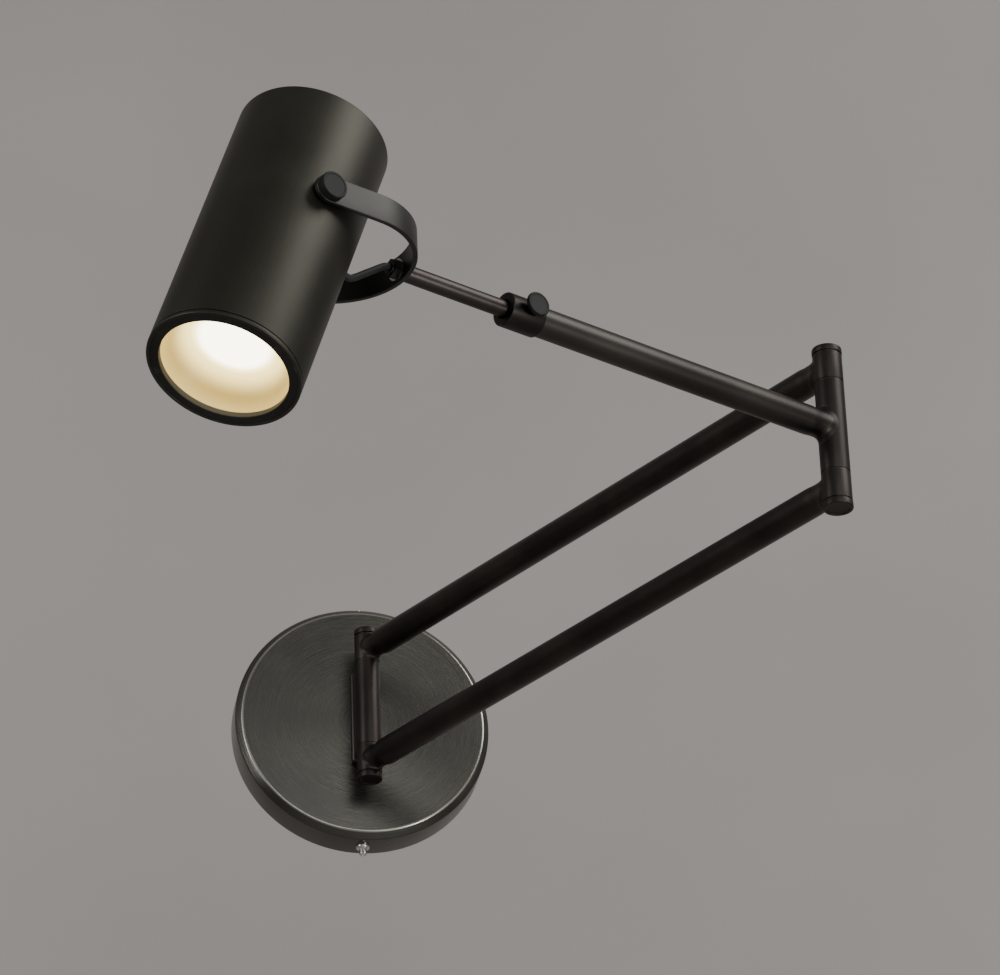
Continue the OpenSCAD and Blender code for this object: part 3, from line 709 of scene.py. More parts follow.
@dataclass(frozen=True)
class Recipe:
    """A Geometry Nodes tree with named inputs, run once on a mesh or a curve."""

    name: str
    inputs: tuple[tuple[str, str], ...]  # each input's name and socket type
    wire: Callable[["Tree", dict], bpy.types.NodeSocket]

    def build(self) -> bpy.types.GeometryNodeTree:
        """Makes the tree.

        Returns:
            The tree, which ends in Realize Instances and Set Material.
        """
        group = bpy.data.node_groups.new(self.name, "GeometryNodeTree")
        face = group.interface
        face.new_socket("Geometry", in_out="INPUT", socket_type="NodeSocketGeometry")
        for name, kind in self.inputs:
            face.new_socket(name, in_out="INPUT", socket_type=kind)
        face.new_socket("Finish", in_out="INPUT", socket_type="NodeSocketMaterial")
        face.new_socket("Geometry", in_out="OUTPUT", socket_type="NodeSocketGeometry")
        tree = Tree(group)
        given = tree.add("NodeGroupInput")
        made = self.wire(tree, {s.name: s for s in given.outputs})
        real = tree.add("GeometryNodeRealizeInstances", None, {"Geometry": made})
        dressed = tree.add("GeometryNodeSetMaterial", None, {
            "Geometry": real.outputs[0], "Material": given.outputs["Finish"]})
        tree.add("NodeGroupOutput", None, {"Geometry": dressed.outputs[0]})
        return group

    def run(self, source: bpy.types.ID, values: dict[str, object]) -> bpy.types.Mesh:
        """Runs the tree on a mesh or curve.

        Args:
            source: The mesh or curve data that the tree starts from.
            values: The tree's inputs by name.

        Returns:
            The plain mesh that comes out.
        """
        carrier = bpy.data.objects.new(f"{self.name}_carrier", source)
        bpy.context.scene.collection.objects.link(carrier)
        modifier = carrier.modifiers.new(self.name, "NODES")
        modifier.node_group = bpy.data.node_groups.get(self.name) or self.build()
        for item in modifier.node_group.interface.items_tree:
            if item.in_out == "INPUT" and item.name in values:
                modifier[item.identifier] = values[item.name]
        graph = bpy.context.evaluated_depsgraph_get()
        made = bpy.data.meshes.new_from_object(carrier.evaluated_get(graph))
        carrier.modifiers.remove(modifier)
        bpy.data.objects.remove(carrier)
        return made


def wire_knurl(tree: Tree, given: dict) -> bpy.types.NodeSocket:
    """Fine ridges side by side round the edge of a disc, from the disc's foot upwards.

    Args:
        tree: The tree being wired.
        given: The recipe's inputs by name.

    Returns:
        The ridges.
    """
    ring = tree.add("GeometryNodeMeshCircle", None, {"Vertices": given["Count"], "Radius": given["Radius"]})
    ridge = tree.add("GeometryNodeMeshCylinder", None, {
        "Vertices": 8, "Radius": given["Ridge"], "Depth": given["Height"]})
    lift = tree.add("ShaderNodeMath", {"operation": "MULTIPLY"}, {0: given["Height"], 1: 0.5})
    up = tree.add("ShaderNodeCombineXYZ", None, {"Z": lift.outputs[0]})
    raised = tree.add("GeometryNodeTransform", None, {
        "Geometry": ridge.outputs["Mesh"], "Translation": up.outputs[0]})
    spread = tree.add("GeometryNodeInstanceOnPoints", None, {
        "Points": ring.outputs["Mesh"], "Instance": raised.outputs[0]})
    return spread.outputs[0]


def wire_lead(tree: Tree, given: dict) -> bpy.types.NodeSocket:
    """A round lead that follows a curve.

    Args:
        tree: The tree being wired.
        given: The recipe's inputs by name.

    Returns:
        The lead's skin.
    """
    smooth = tree.add("GeometryNodeResampleCurve", None, {
        "Curve": given["Geometry"], "Count": given["Rings"]})
    section = tree.add("GeometryNodeCurvePrimitiveCircle", None, {
        "Resolution": LEAD_SIDES, "Radius": given["Radius"]})
    swept = tree.add("GeometryNodeCurveToMesh", None, {
        "Curve": smooth.outputs[0], "Profile Curve": section.outputs[0], "Fill Caps": True})
    return swept.outputs[0]


KNURL = Recipe("knurl", (("Count", "NodeSocketInt"), ("Radius", "NodeSocketFloat"),
                         ("Ridge", "NodeSocketFloat"), ("Height", "NodeSocketFloat")), wire_knurl)
LEAD = Recipe("lead", (("Rings", "NodeSocketInt"), ("Radius", "NodeSocketFloat")), wire_lead)


# ---- Sub-assemblies ----

@dataclass
class Barrel:
    """What the wall pivot and the elbow share: two end fittings, a middle barrel and two caps."""

    radius: float
    spacing: float = 57.8
    fitting: float = 13.2
    middle: float = 21.7
    cap: float = 3.3
    bevel: float = 0.2
    neck_less: float = 0.3
    fillet: float = 3.0
    swage_run: float = 5  # length over which a tube's end draws in
    sunk: float = 0.88  # share of its radius to which a fillet's back sinks into the barrel
    inside: float = 0.85  # share of its radius to which a fillet's back sinks into the tube

    def neck(self) -> float:
        """The radius of a tube where it meets the barrel."""
        return self.radius - self.neck_less

    def swage(self, tube: float) -> Outline:
        """A tube's end, drawn in to the neck, from the barrel's axis outwards.

        Args:
            tube: The tube's radius.

        Returns:
            The outline of that end.
        """
        start = self.radius + self.fillet + 0.2
        ends: Outline = [(0, 2.5), (self.neck(), 4.0)]
        for k in range(9):
            u = k / 8
            eased = u * u * (3 - 2 * u)
            ends.append((self.neck() + (tube - self.neck()) * eased, start + self.swage_run * u))
        return ends

    def sleeve(self, half: float) -> Outline:
        """The outline of a barrel's middle, solid to its axis."""
        return rounded([(0, -half, 0), (self.radius, -half, self.bevel), (self.radius, half, self.bevel),
                        (0, half, 0)])

    def cap_outline(self, radius: float) -> Outline:
        """A cap with a shallow dish in its face.

        Args:
            radius: The cap's radius.

        Returns:
            Its outline.
        """
        rim = radius - 1.3
        return rounded([(0, 0, 0), (radius - 0.5, 0, 0), (radius - 0.5, 0.4, 0.1), (radius, 0.6, 0.2),
                        (radius, self.cap, 0.5), (rim, self.cap, 0.2), (rim - 0.3, self.cap - 0.4, 0.2),
                        (0, self.cap - 0.4, 0)])

    def saddle(self, tube: float, reach_out: float, rise: float, steps: int = 96) -> list[list[Vector]]:
        """Rings of the fillet where a tube along X runs into the barrel.

        Args:
            tube: The tube's radius where it meets the barrel.
            reach_out: How far the fillet reaches along the tube and round the barrel.
            rise: How far it reaches up and down the barrel.
            steps: How many rings go round the tube.

        Returns:
            One closed ring of points for each step, for a closed skin.
        """
        rings = []
        for k in range(steps):
            angle = 2 * math.pi * k / steps
            across, height = tube * math.cos(angle), tube * math.sin(angle)
            reach = math.sqrt(max(self.radius ** 2 - across ** 2, 0.01))
            meet = Vector((reach, across, height))
            on_tube = meet + Vector((reach_out, 0, 0))
            bearing = math.atan2(across, reach) + reach_out * math.cos(angle) / self.radius
            on_barrel = Vector((self.radius * math.cos(bearing), self.radius * math.sin(bearing),
                                height + rise * math.sin(angle)))
            ring = []
            for j in range(9):
                u = j / 8
                ring.append((1 - u) ** 2 * on_tube + 2 * (1 - u) * u * meet + u * u * on_barrel)
            ring.append(Vector((on_barrel.x * self.sunk, on_barrel.y * self.sunk, on_barrel.z * 0.95)))
            ring.append(Vector((reach * 0.8, across * self.inside, height * self.inside)))
            ring.append(Vector((on_tube.x, across * self.inside, height * self.inside)))
            rings.append(ring)
        return rings


@dataclass
class WallMount:
    """The canopy, what holds it and the fixed bracket of the wall pivot."""

    radius: float = 60
    depth: float = 18
    bevel: float = 3
    sheet: float = 1.6
    pivot_out: float = 34.3
    foot_w: float = 12
    foot_h: float = 46
    foot_t: float = 4
    nut_radius: float = 3.2
    nut_height: float = 2
    screw_out: float = 8

    def canopy(self, wall: Axes) -> None:
        """The canopy, a spun cover with a bevelled face.

        Args:
            wall: The canopy's axes.
        """
        inner = self.radius - self.sheet
        face = self.depth - self.sheet
        outline = rounded([
            (0, self.depth, 0), (self.radius - self.bevel, self.depth, 0.5),
            (self.radius, self.depth - self.bevel, 0.5), (self.radius, 0, 0.3), (inner, 0, 0.3),
            (inner, face - self.bevel, 1), (inner - self.bevel, face, 1), (0, face, 0)], steps=5)
        Shape().turned(outline, steps=192).piece(
            "canopy_cover", wall, "wall_mount", BRUSHED_GUNMETAL.dress(wall), "brushed_gunmetal", ["canopy"])

    def bracket(self, wall: Axes, barrel: Barrel) -> None:
        """The cast bracket: foot, web and middle barrel, with rounded edges.

        Args:
            wall: The canopy's axes.
            barrel: The wall pivot's sizes.
        """
        half = barrel.middle
        upright = Matrix.Translation((0, 0, self.pivot_out)) @ Matrix.Rotation(math.radians(-90), 4, "X")
        shape = Shape()
        shape.turned(barrel.sleeve(half), turn=upright)
        web = self.foot_w / 2 - 1
        shape.block((-web, -half, self.depth + 1), (web, half, self.pivot_out), 0.6)
        shape.block((-self.foot_w / 2, -self.foot_h / 2, self.depth),
                    (self.foot_w / 2, self.foot_h / 2, self.depth + self.foot_t), 0.9)
        shape.piece("pivot_casting", wall, "wall_mount", BLACK_BRONZE.dress(LAYOUT.pivot()),
                    "black_bronze", ["pivot_bracket"])

    def canopy_screws(self, wall: Axes) -> None:
        """The slotted screws and round lock nuts on the canopy's rim, at the top and the bottom.

        Args:
            wall: The canopy's axes.
        """
        seat, r, h = self.radius, self.nut_radius, self.nut_height
        for name, axes in (("top", wall.moved(0, 0, self.screw_out).along_y()),
                           ("bottom", wall.moved(0, 0, self.screw_out).flipped().along_y())):
            bright = BRIGHT_NICKEL.dress(axes)
            nut = rounded([(0, seat - 0.5, 0), (r, seat - 0.5, 0), (r, seat + h - 0.8, 0.7),
                           (r - 1.1, seat + h, 0.6), (0, seat + h, 0)])
            Shape().turned(nut, steps=48).piece(
                f"canopy_lock_nut_{name}", axes, "wall_mount", bright, "bright_nickel",
                [f"canopy_nut_{name}"])
            repaint(bright, f"canopy_screw_{name}")

    def hidden_parts(self, wall: Axes) -> None:
        """Materials for what lies behind the canopy.

        Args:
            wall: The canopy's axes.
        """
        repaint(ZINC_STEEL.dress(wall), "mounting_bar")
        repaint(WHITE_PLASTIC.dress(wall), "terminal_block")
        repaint(GREEN_SCREW.dress(wall), "ground_screw")
        repaint(BLACK_RUBBER.dress(wall), "wire_bush")
        repaint(PLAIN_STEEL.dress(wall), "bracket_screw_top", "bracket_screw_bottom")
        repaint(BEARING_BRONZE.dress(LAYOUT.pivot()), "wall_bush_top", "wall_bush_bottom")

    def build(self) -> None:
        """Makes every piece of the wall mount."""
        wall = LAYOUT.wall()
        self.canopy(wall)
        self.bracket(wall, Barrel(WALL_BARREL))
        self.canopy_screws(wall)
        self.hidden_parts(wall)


@dataclass
class DoubleArm:
    """The two parallel tubes with their end fittings, pins and caps."""

    length: float = 318
    tube: float = 6.35
    wall_fillet: float = 2.2
    elbow_cap_over: float = 0.15

    def tube_outline(self, wall_barrel: Barrel, elbow_barrel: Barrel) -> Outline:
        """A tube whose ends draw in a little to meet the barrels."""
        far = [(r, self.length - h) for r, h in reversed(elbow_barrel.swage(self.tube))]
        return wall_barrel.swage(self.tube) + far

    def build_tube(self, side: str, height: float, barrels: tuple[Barrel, Barrel]) -> None:
        """One tube, above or below the middle.

        Args:
            side: The word in its names, upper or lower.
            height: How far it lies above the middle.
            barrels: The sizes of the wall's barrel and the elbow's.
        """
        axes = LAYOUT.pivot().moved(0, 0, height).along_x()
        Shape().turned(self.tube_outline(*barrels), steps=96).piece(
            f"{side}_tube_drawn", axes, "arm", BLACK_BRONZE.dress(axes), "black_bronze",
            [f"{side}_arm_tube"])

    def build_fitting(self, name: str, axes: Axes, barrel: Barrel, node: str) -> None:
        """An end fitting: a short barrel and the fillet that runs onto the tube.

        Args:
            name: The piece's name.
            axes: The barrel's middle, with X along the tube.
            barrel: Its sizes.
            node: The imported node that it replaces.
        """
        shape = Shape()
        shape.turned(barrel.sleeve(barrel.fitting / 2))
        rise = barrel.fitting / 2 - barrel.neck() - 0.1
        shape.grid(barrel.saddle(barrel.neck() + 0.01, barrel.fillet, rise), closed=True)
        shape.piece(name, axes, "arm", BLACK_BRONZE.dress(axes), "black_bronze", [node])

    def build(self) -> None:
        """Makes every piece of the double arm."""
        wall_barrel = Barrel(WALL_BARREL, fillet=self.wall_fillet)
        elbow_barrel = Barrel(ELBOW_BARREL)
        pivot, elbow = LAYOUT.pivot(), LAYOUT.elbow()
        back = Axes(elbow.origin, -elbow.x, -elbow.y, elbow.z)
        half = wall_barrel.spacing / 2
        ends = ((pivot, wall_barrel, 0, "wall"), (elbow, elbow_barrel, self.elbow_cap_over, "elbow"))
        for word, side, height in (("top", "upper", half), ("bottom", "lower", -half)):
            self.build_tube(side, height, (wall_barrel, elbow_barrel))
            self.build_fitting(f"wall_socket_{word}", pivot.moved(0, 0, height), wall_barrel,
                               f"wall_fitting_{word}")
            self.build_fitting(f"elbow_socket_{word}", back.moved(0, 0, height), elbow_barrel,
                               f"elbow_fitting_{word}")
            for place, barrel, grow, joint in ends:
                base = place if height > 0 else place.flipped()
                axes = base.moved(0, 0, half + barrel.fitting / 2)
                Shape().turned(barrel.cap_outline(barrel.radius + grow)).piece(
                    f"{joint}_end_cap_{word}", axes, "arm", BLACK_BRONZE.dress(axes), "black_bronze",
                    [f"{joint}_cap_{word}"])
        repaint(PLAIN_STEEL.dress(pivot), "wall_pin")
        repaint(PLAIN_STEEL.dress(elbow), "elbow_pin")


@dataclass
class Knob:
    """A thumb screw: a turned disc with a knurled edge on a plain shank."""

    radius: float
    thickness: float
    seat: float  # where the disc's underside stands on the screw's axis
    tip: float  # where the shank ends
    shank: float = 2.0
    ridge: float = 0.16

    def build(self, name: str, axes: Axes, body: str, node: str) -> None:
        """Makes the knob and its knurl.

        Args:
            name: The start of the pieces' names.
            axes: The screw's axes, with Z out.
            body: The body that the knob is.
            node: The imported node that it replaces.
        """
        top, r = self.seat + self.thickness, self.radius - self.ridge
        outline = rounded([
            (0, self.tip, 0), (self.shank, self.tip, 0.3), (self.shank, self.seat, 0.2), (r, self.seat, 0.35),
            (r, top, 0.45), (r - 0.9, top, 0.3), (r - 1.2, top - 0.15, 0.2), (0, top - 0.15, 0)])
        finish = FLAT_BLACK.dress(axes)
        Shape().turned(outline, steps=96).piece(f"{name}_disc", axes, body, finish, "flat_black", [node])
        ridges = KNURL.run(bpy.data.meshes.new("ring"), {
            "Count": 54, "Radius": r, "Ridge": self.ridge, "Height": self.thickness - 1.0, "Finish": finish})
        settle(ridges, f"{name}_knurl", axes.moved(0, 0, self.seat + 0.5), body, finish)


@dataclass
class Forearm:
    """The elbow's middle barrel, the forearm tube, its collar and the lock knob."""

    tube: float = 6.35
    collar_front: float = 175
    collar_len: float = 16.7
    collar: float = 7.25
    rod: float = 3.7
    lock_back: float = 9.5
    lock_stand: float = 2.6
    lock_radius: float = 5.4
    lock_thick: float = 1.8

    def build_tube(self, axes: Axes, barrel: Barrel) -> None:
        """The middle barrel and the tube that grows out of it.

        Args:
            axes: The forearm's axes.
            barrel: The elbow's sizes.
        """
        back = self.collar_front - self.collar_len
        outline = barrel.swage(self.tube) + [(self.tube, back + 1), (0, back + 1)]
        Shape().turned(outline).piece("forearm_tube_drawn", axes.along_x(), "forearm",
                                      BLACK_BRONZE.dress(axes.along_x()), "black_bronze", ["forearm_tube"])
        shape = Shape()
        shape.turned(barrel.sleeve(barrel.middle))
        shape.grid(barrel.saddle(barrel.neck() + 0.01, barrel.fillet, barrel.fillet), closed=True)
        shape.piece("elbow_middle", axes, "forearm", BLACK_BRONZE.dress(axes), "black_bronze",
                    ["elbow_knuckle"])

    def build_collar(self, axes: Axes) -> None:
        """The turned collar, with the rod's bore in its face.

        Args:
            axes: The forearm's axes.
        """
        back, front = self.collar_front - self.collar_len, self.collar_front
        turned = axes.along_x()
        outline = rounded([
            (self.rod + FREE_GAP, back, 0), (self.collar, back, 0.5), (self.collar, front, 0.7),
            (self.rod + 0.6, front, 0.2), (self.rod + FREE_GAP, front - 0.6, 0.1)], closed=True)
        Shape().turned(outline, closed=True).piece("collar_turned", turned, "forearm",
                                                   BLACK_BRONZE.dress(turned), "black_bronze", ["rod_collar"])

    def build(self) -> None:
        """Makes every piece of the forearm."""
        axes = LAYOUT.forearm()
        self.build_tube(axes, Barrel(ELBOW_BARREL))
        self.build_collar(axes)
        knob_axes = axes.moved(self.collar_front - self.lock_back).along_y()
        Knob(self.lock_radius, self.lock_thick, self.collar + self.lock_stand, self.rod + FREE_GAP).build(
            "lock", knob_axes, "lock_knob", "rod_lock_knob")
        repaint(BEARING_BRONZE.dress(axes), "elbow_bush_top", "elbow_bush_bottom")


@dataclass
class RodAndYoke:
    """The sliding rod, the U-shaped strap on its end and the short lead into the shade."""

    rod: float = 3.65
    rod_back: float = 80.9
    reach: float = 285.5
    depth: float = 59
    span: float = 68.6
    width: float = 12.2
    thickness: float = 2
    tip: float = 53.1
    lead: float = 1.5
    shade: float = 31.1

    def build_rod(self) -> None:
        """The rod, with its shoulder against the strap and its threaded end through it."""
        axes = LAYOUT.forearm().along_x()
        shoulder = self.reach - self.depth - FREE_GAP
        end = self.reach - self.tip
        outline = rounded([
            (1.7, self.rod_back, 0.2), (self.rod, self.rod_back, 0.3), (self.rod, shoulder, 0.25),
            (2.9, shoulder, 0), (2.9, end, 0.3), (1.7, end, 0.2)], closed=True)
        Shape().turned(outline, closed=True, steps=72).piece(
            "rod_turned", axes, "rod", BROWN_STEEL.dress(axes), "brown_steel", ["slide_rod"])

    def strap_rows(self) -> list[list[Vector]]:
        """Cross-sections along the strap, from the far end round the bend to the near end.

        Returns:
            One closed ring of points for each section.
        """
        middle = self.span / 2 - self.thickness / 2
        bend = self.depth - self.span / 2
        half = self.width / 2
        stations: list[tuple[float, float, float, float]] = []
        end_turns = [math.radians(a) for a in (86, 78, 68, 56, 42, 28, 14)]
        for a in end_turns:
            stations.append((half * math.sin(a), -middle, -90, half * math.cos(a)))
        for k in range(5):
            stations.append((-bend * k / 5, -middle, -90, half))
        for k in range(49):
            turn = -90 - 180 * k / 48
            stations.append((-bend + middle * math.cos(math.radians(turn)),
                             middle * math.sin(math.radians(turn)), turn, half))
        for k in range(5):
            stations.append((-bend * (4 - k) / 5, middle, 90, half))
        for a in reversed(end_turns):
            stations.append((half * math.sin(a), middle, 90, half * math.cos(a)))
        return [self.strap_section(*station) for station in stations]

    def strap_section(self, x: float, y: float, turn: float, half: float) -> list[Vector]:
        """One rounded cross-section of the strap, square to its run.

        Args:
            x: The section's place along the rod.
            y: Its place towards the near side.
            turn: Which way its outer face looks, in degrees.
            half: Half the strap's width there.

        Returns:
            The section's points.
        """
        outward = Vector((math.cos(math.radians(turn)), math.sin(math.radians(turn)), 0))
        t, soft = self.thickness / 2, 0.35
        soft_w = min(soft, half * 0.4)
        corners = [(t, half), (-t, half), (-t, -half), (t, -half)]
        ring = []
        for a, w in corners:
            sa, sw = math.copysign(1, a), math.copysign(1, w)
            arc = [(a - sa * soft * (1 - c), w - sw * soft_w * (1 - s))
                   for c, s in ((1, 0), (0.92, 0.38), (0.71, 0.71), (0.38, 0.92), (0, 1))]
            ring += arc if a * w > 0 else arc[::-1]
        return [Vector((x, y, w)) + outward * a for a, w in ring]

    def build_strap(self) -> None:
        """The bent strap, with half-round ends."""
        axes = LAYOUT.tilt()
        Shape().grid(self.strap_rows()).piece("yoke_bent_strap", axes, "yoke", GREY_STRAP.dress(axes),
                                              "grey_strap", ["yoke_strap"], crease=50)

    def lead_route(self) -> list[Vector]:
        """The middle line of the lead: out of the rod, down, and into the shade.

        Returns:
            The points of the route, from the tilt axis.
        """
        turn = math.radians(LAYOUT.shade_angle)
        inwards = Vector((-math.sin(turn), 0, -math.cos(turn)))
        out = Vector((-self.tip, 0, 0))
        bend = out + Vector((3.5, 0, -1.2))
        drop = (self.shade + 5.6) * inwards + Vector((-1.6, 0, 2))
        return [out - Vector((5, 0, 0)), out, out + Vector((1.9, 0, -0.3)), bend,
                (2 * bend + drop) / 3, (bend + 2 * drop) / 3, drop,
                (self.shade + 4.5) * inwards + Vector((0, 0, 0.4)), (self.shade + 1.9) * inwards,
                (self.shade - 1.3) * inwards, (self.shade - 5.5) * inwards]

    def build_lead(self) -> None:
        """The lead out of the rod's end, down and into the shade, set in the row frame on no body."""
        axes = LAYOUT.tilt()
        route = self.lead_route()
        curve = bpy.data.curves.new("lead_route", "CURVE")
        curve.dimensions = "3D"
        spline = curve.splines.new("BEZIER")
        spline.bezier_points.add(len(route) - 1)
        for point, place in zip(spline.bezier_points, route):
            point.co = place
            point.handle_left_type = point.handle_right_type = "AUTO"
        finish = BLACK_RUBBER.dress(axes)
        skin = LEAD.run(curve, {"Rings": 60, "Radius": self.lead, "Finish": finish})
        lead = settle(skin, "lead_to_shade", axes, "", finish, ["lamp_lead"])
        axes.at(*route[3])
        axes.at(*route[7])
        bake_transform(lead)

    def build(self) -> None:
        """Makes every piece of the rod and the yoke."""
        tilt = LAYOUT.tilt()
        self.build_rod()
        self.build_strap()
        self.build_lead()
        repaint(FLAT_BLACK.dress(tilt.along_x()), "yoke_nut")
        repaint(BRIGHT_NICKEL.dress(tilt.along_x()), "yoke_washer")
        repaint(WHITE_PLASTIC.dress(tilt), "rod_stop")
        repaint(BLACK_RUBBER.dress(tilt), "tilt_washer_near", "tilt_washer_far")


@dataclass
class Shade:
    """The cylinder shade with its bezel, reflector, lamp, back and tilt knobs."""

    radius: float = 31.1
    back: float = 48.5
    front: float = 79.5
    wall: float = 1.5
    opening: float = 26
    bezel: float = 2.2
    line_width: float = 0.5
    line_deep: float = 0.4
    lens: float = 17.5
    lens_depth: float = 16
    span: float = 68.6
    knob_radius: float = 5.9
    knob_thick: float = 3.4
    knob_tip: float = 27.2  # where the knobs' shanks end, from the shade's axis
    skirt: float = 9  # how far the bezel's skirt reaches into the shell
    skirt_wall: float = 1.2
    bowl_steps: int = 12
    bowl_curve: float = 0.85  # below 1 the bowl opens faster near the lens
    bowl_wall: float = 0.8

    def build_shell(self, axes: Axes) -> None:
        """The shell, with a fine line turned round it above its front rim.

        Args:
            axes: The shade's axes.
        """
        inner, line, r = self.radius - self.wall, self.front - self.bezel, self.radius
        low = r - self.line_deep
        outline = rounded([
            (inner, -self.back, 0.3), (r, -self.back, 0.7), (r, line, 0.15), (low, line, 0),
            (low, line + self.line_width, 0), (r, line + self.line_width, 0.15), (r, self.front, 0.7),
            (inner, self.front, 0.2)], closed=True)
        Shape().turned(outline, closed=True, steps=160).piece(
            "shade_spun_shell", axes, "shade", OLIVE_BRONZE.dress(axes), "olive_bronze", ["shade_shell"])

    def build_bezel(self, axes: Axes) -> None:
        """The black ring pressed into the front of the shell.

        Args:
            axes: The shade's axes.
        """
        back, face, inner = self.front - self.bezel - 0.6, self.front - 0.15, self.radius - self.wall - 0.02
        foot = self.front - self.bezel - self.skirt
        outline = rounded([
            (self.opening, back, 0), (self.opening, face, 0.6), (inner, face, 0.2), (inner, foot, 0.2),
            (inner - self.skirt_wall, foot, 0.2), (inner - self.skirt_wall, back, 0)], closed=True)
        Shape().turned(outline, closed=True, steps=160).piece(
            "bezel_ring", axes, "shade", FLAT_BLACK.dress(axes), "flat_black", ["front_bezel"])

    def build_reflector(self, axes: Axes) -> None:
        """The cream bowl between the bezel and the lens, with a painted glow for the lamp's light reflected
        off it.

        Args:
            axes: The shade's axes.
        """
        lip, foot = self.front - self.bezel - 0.65, self.front - self.lens_depth
        low, high = self.lens - 0.15, self.opening
        bowl: Outline = []
        for k in range(self.bowl_steps + 1):
            u = k / self.bowl_steps
            opened = math.sin(u * math.pi / 2) ** self.bowl_curve
            bowl.append((low + (high - low) * opened, foot + (lip - foot) * u))
        bowl[0] = (low, foot + 0.15)
        outer = [(r + self.bowl_wall, h - self.bowl_wall) for r, h in reversed(bowl)]
        outline = bowl + [(self.radius - self.wall - 1.3, lip)] + outer
        Shape().turned(outline, closed=True, steps=128).piece(
            "reflector_bowl", axes, "shade", CREAM_REFLECTOR_PAINTED_GLOW.dress(axes), "cream_reflector", ["reflector"])

    def build_lens(self, axes: Axes) -> None:
        """The lit lens, slightly domed.

        Args:
            axes: The shade's axes.
        """
        top = self.front - self.lens_depth
        dome = [(self.lens * u, top + 0.7 - 0.62 * u * u) for u in (0, 0.15, 0.3, 0.45, 0.6, 0.75, 0.9)]
        outline = dome + rounded([(self.lens, top + 0.08, 0), (self.lens, top - 2, 0.3), (0, top - 2, 0)])
        Shape().turned(outline).piece("lens_frosted", axes, "shade", LIT_LENS.dress(axes), "lit_lens",
                                      ["lamp_lens"])

    def build_knobs(self, tilt: Axes) -> None:
        """The two tilt knobs on the yoke's legs.

        Args:
            tilt: The tilt axis.
        """
        for word, axes in (("near", tilt.along_y()), ("far", tilt.flipped().along_y())):
            Knob(self.knob_radius, self.knob_thick, self.span / 2 + FREE_GAP, self.knob_tip).build(
                f"tilt_{word}", axes, f"tilt_knob_{word}", f"tilt_knob_{word}")

    def build(self) -> None:
        """Makes every piece of the shade."""
        axes, tilt = LAYOUT.shade(), LAYOUT.tilt()
        self.build_shell(axes)
        self.build_bezel(axes)
        self.build_reflector(axes)
        self.build_lens(axes)
        self.build_knobs(tilt)
        repaint(LAMP_METAL.dress(axes), "lamp_body")
        repaint(WHITE_PLASTIC.dress(axes), "lamp_holder")
        repaint(ZINC_STEEL.dress(axes), "lamp_carrier")
        repaint(FLAT_BLACK.dress(axes), "back_cap")
        repaint(PLAIN_STEEL.dress(axes), "back_cap_screw_1", "back_cap_screw_2", "back_cap_screw_3")
        repaint(INSERT_BRASS.dress(tilt.along_y()), "pivot_insert_near", "pivot_insert_far")
        repaint(BLACK_RUBBER.dress(axes), "lead_grommet")


# ---- Studio ----

@dataclass(frozen=True)
class SoftLight:
    """A soft rectangular light aimed at a point of the object."""

    name: str
    place: Colour
    aim: Colour
    size: tuple[float, float]
    watts: float
    colour: Colour = (1.0, 1.0, 1.0)

    def build(self) -> None:
        """Adds the light."""
        data = bpy.data.lights.new(self.name, "AREA")
        data.shape = "RECTANGLE"
        data.size, data.size_y = self.size
        data.energy = self.watts
        data.color = self.colour
        lamp = bpy.data.objects.new(self.name, data)
        bpy.context.scene.collection.objects.link(lamp)
        lamp.location = self.place
        way = Vector(self.aim) - Vector(self.place)
        lamp.rotation_euler = way.to_track_quat("-Z", "Y").to_euler()


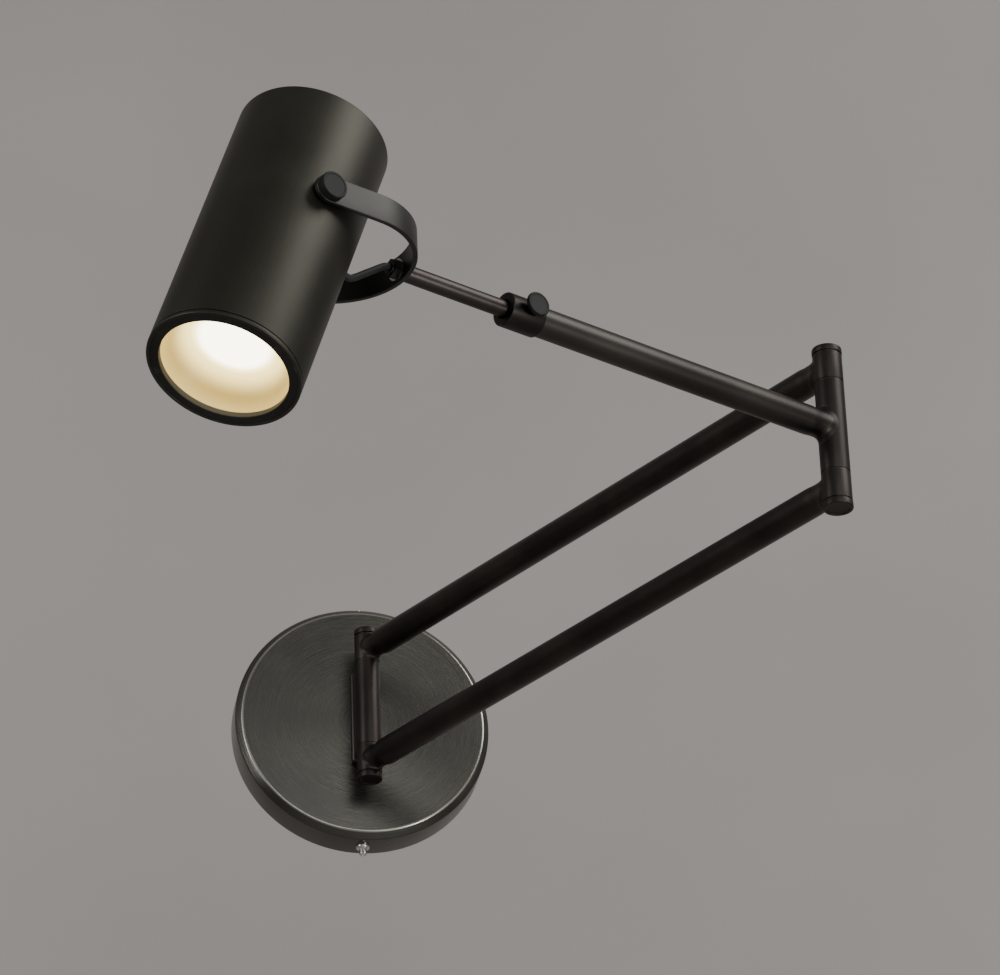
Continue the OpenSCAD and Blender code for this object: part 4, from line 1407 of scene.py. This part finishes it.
@dataclass
class Studio:
    """Camera, lights, floor and backdrop."""

    eye: Colour = (-0.32337, -2.11403, -1.06718)
    yaw: float = 10.615
    pitch: float = 29.300
    roll: float = -2.242
    lens: float = 182.3
    floor: float = -1.5
    backdrop: float = 0.62
    half_width: float = 5
    top: float = 4
    cloud_dark: float = 0.86  # how dark the sheets' faint clouds are

    def camera(self) -> None:
        """The camera, level with a small roll, without shift or depth of field."""
        data = bpy.data.cameras.new("camera")
        data.lens = self.lens
        data.sensor_width = 36
        data.sensor_fit = "HORIZONTAL"
        data.clip_end = 30
        view = bpy.data.objects.new("camera", data)
        bpy.context.scene.collection.objects.link(view)
        yaw, pitch, roll = (math.radians(a) for a in (self.yaw, self.pitch, self.roll))
        ahead = Vector((math.sin(yaw) * math.cos(pitch), math.cos(yaw) * math.cos(pitch), math.sin(pitch)))
        right = Vector((math.cos(yaw), -math.sin(yaw), 0))
        up = right.cross(ahead)
        tilted_right = math.cos(roll) * right + math.sin(roll) * up
        tilted_up = math.cos(roll) * up - math.sin(roll) * right
        turn = Matrix((tilted_right, tilted_up, -ahead)).transposed().to_4x4()
        view.matrix_world = Matrix.Translation(self.eye) @ turn
        bpy.context.scene.camera = view

    def plain_sheet(self, name: str, corners: Sequence[Colour], colour: Colour) -> None:
        """A matt sheet of the studio that shows from its front only.

        Args:
            name: The sheet's name.
            corners: Its four corners, in metres.
            colour: Its colour.
        """
        data = bpy.data.meshes.new(name)
        data.from_pydata(corners, [], [(0, 1, 2, 3)])
        sheet = bpy.data.objects.new(name, data)
        bpy.context.scene.collection.objects.link(sheet)
        material = bpy.data.materials.new(f"{name}_matt")
        material.use_nodes = True
        tree = Tree(material.node_tree)
        place = tree.add("ShaderNodeTexCoord").outputs["Object"]
        cloud = tree.noise(place, 1.6, 5.0)
        darker = tuple(self.cloud_dark * c for c in colour)
        matt = tree.add("ShaderNodeBsdfPrincipled", None, {
            "Base Color": tree.mix(cloud.between(0.3, 0.7), darker, colour), "Roughness": 0.9})
        clear = tree.add("ShaderNodeBsdfTransparent")
        behind = tree.add("ShaderNodeNewGeometry").outputs["Backfacing"]
        shown = tree.add("ShaderNodeMixShader", None, {0: behind, 1: matt.outputs[0], 2: clear.outputs[0]})
        tree.feed(tree.add("ShaderNodeOutputMaterial").inputs["Surface"], shown.outputs[0])
        data.materials.append(material)

    def build(self) -> None:
        """Makes the studio."""
        self.camera()
        w, y, z = self.half_width, self.backdrop, self.floor
        self.plain_sheet("floor_sheet", [(-w, -w, z), (w, -w, z), (w, y, z), (-w, y, z)],
                         (0.55, 0.54, 0.52))
        self.plain_sheet("backdrop_sheet", [(-w, y, z), (w, y, z), (w, y, self.top), (-w, y, self.top)],
                         (0.42, 0.39, 0.375))
        SoftLight("key", (1.7, -1.15, 1.4), (0.0, -0.25, 0.0), (1.3, 1.3), 26).build()
        SoftLight("side", (-1.6, -0.9, 0.3), (-0.1, -0.35, 0.0), (0.5, 1.3), 8).build()
        SoftLight("front", (0.3, -2.6, 0.4), (0.0, -0.3, 0.0), (1.6, 1.0), 10).build()
        SoftLight("low", (1.2, -1.7, -0.95), (0.0, -0.1, 0.0), (0.35, 0.35), 12).build()
        world = bpy.data.worlds.new("studio_air")
        bpy.context.scene.world = world
        world.use_nodes = True
        world.node_tree.nodes["Background"].inputs["Color"].default_value = (0.34, 0.335, 0.33, 1)
        world.node_tree.nodes["Background"].inputs["Strength"].default_value = 0.85


def main() -> None:
    """Builds the studio and every sub-assembly."""
    logging.basicConfig(level=logging.INFO, format="%(name)s: %(message)s")
    Studio().build()
    for part in (WallMount(), DoubleArm(), Forearm(), RodAndYoke(), Shade()):
        part.build()


if __name__ == "__main__":
    main()
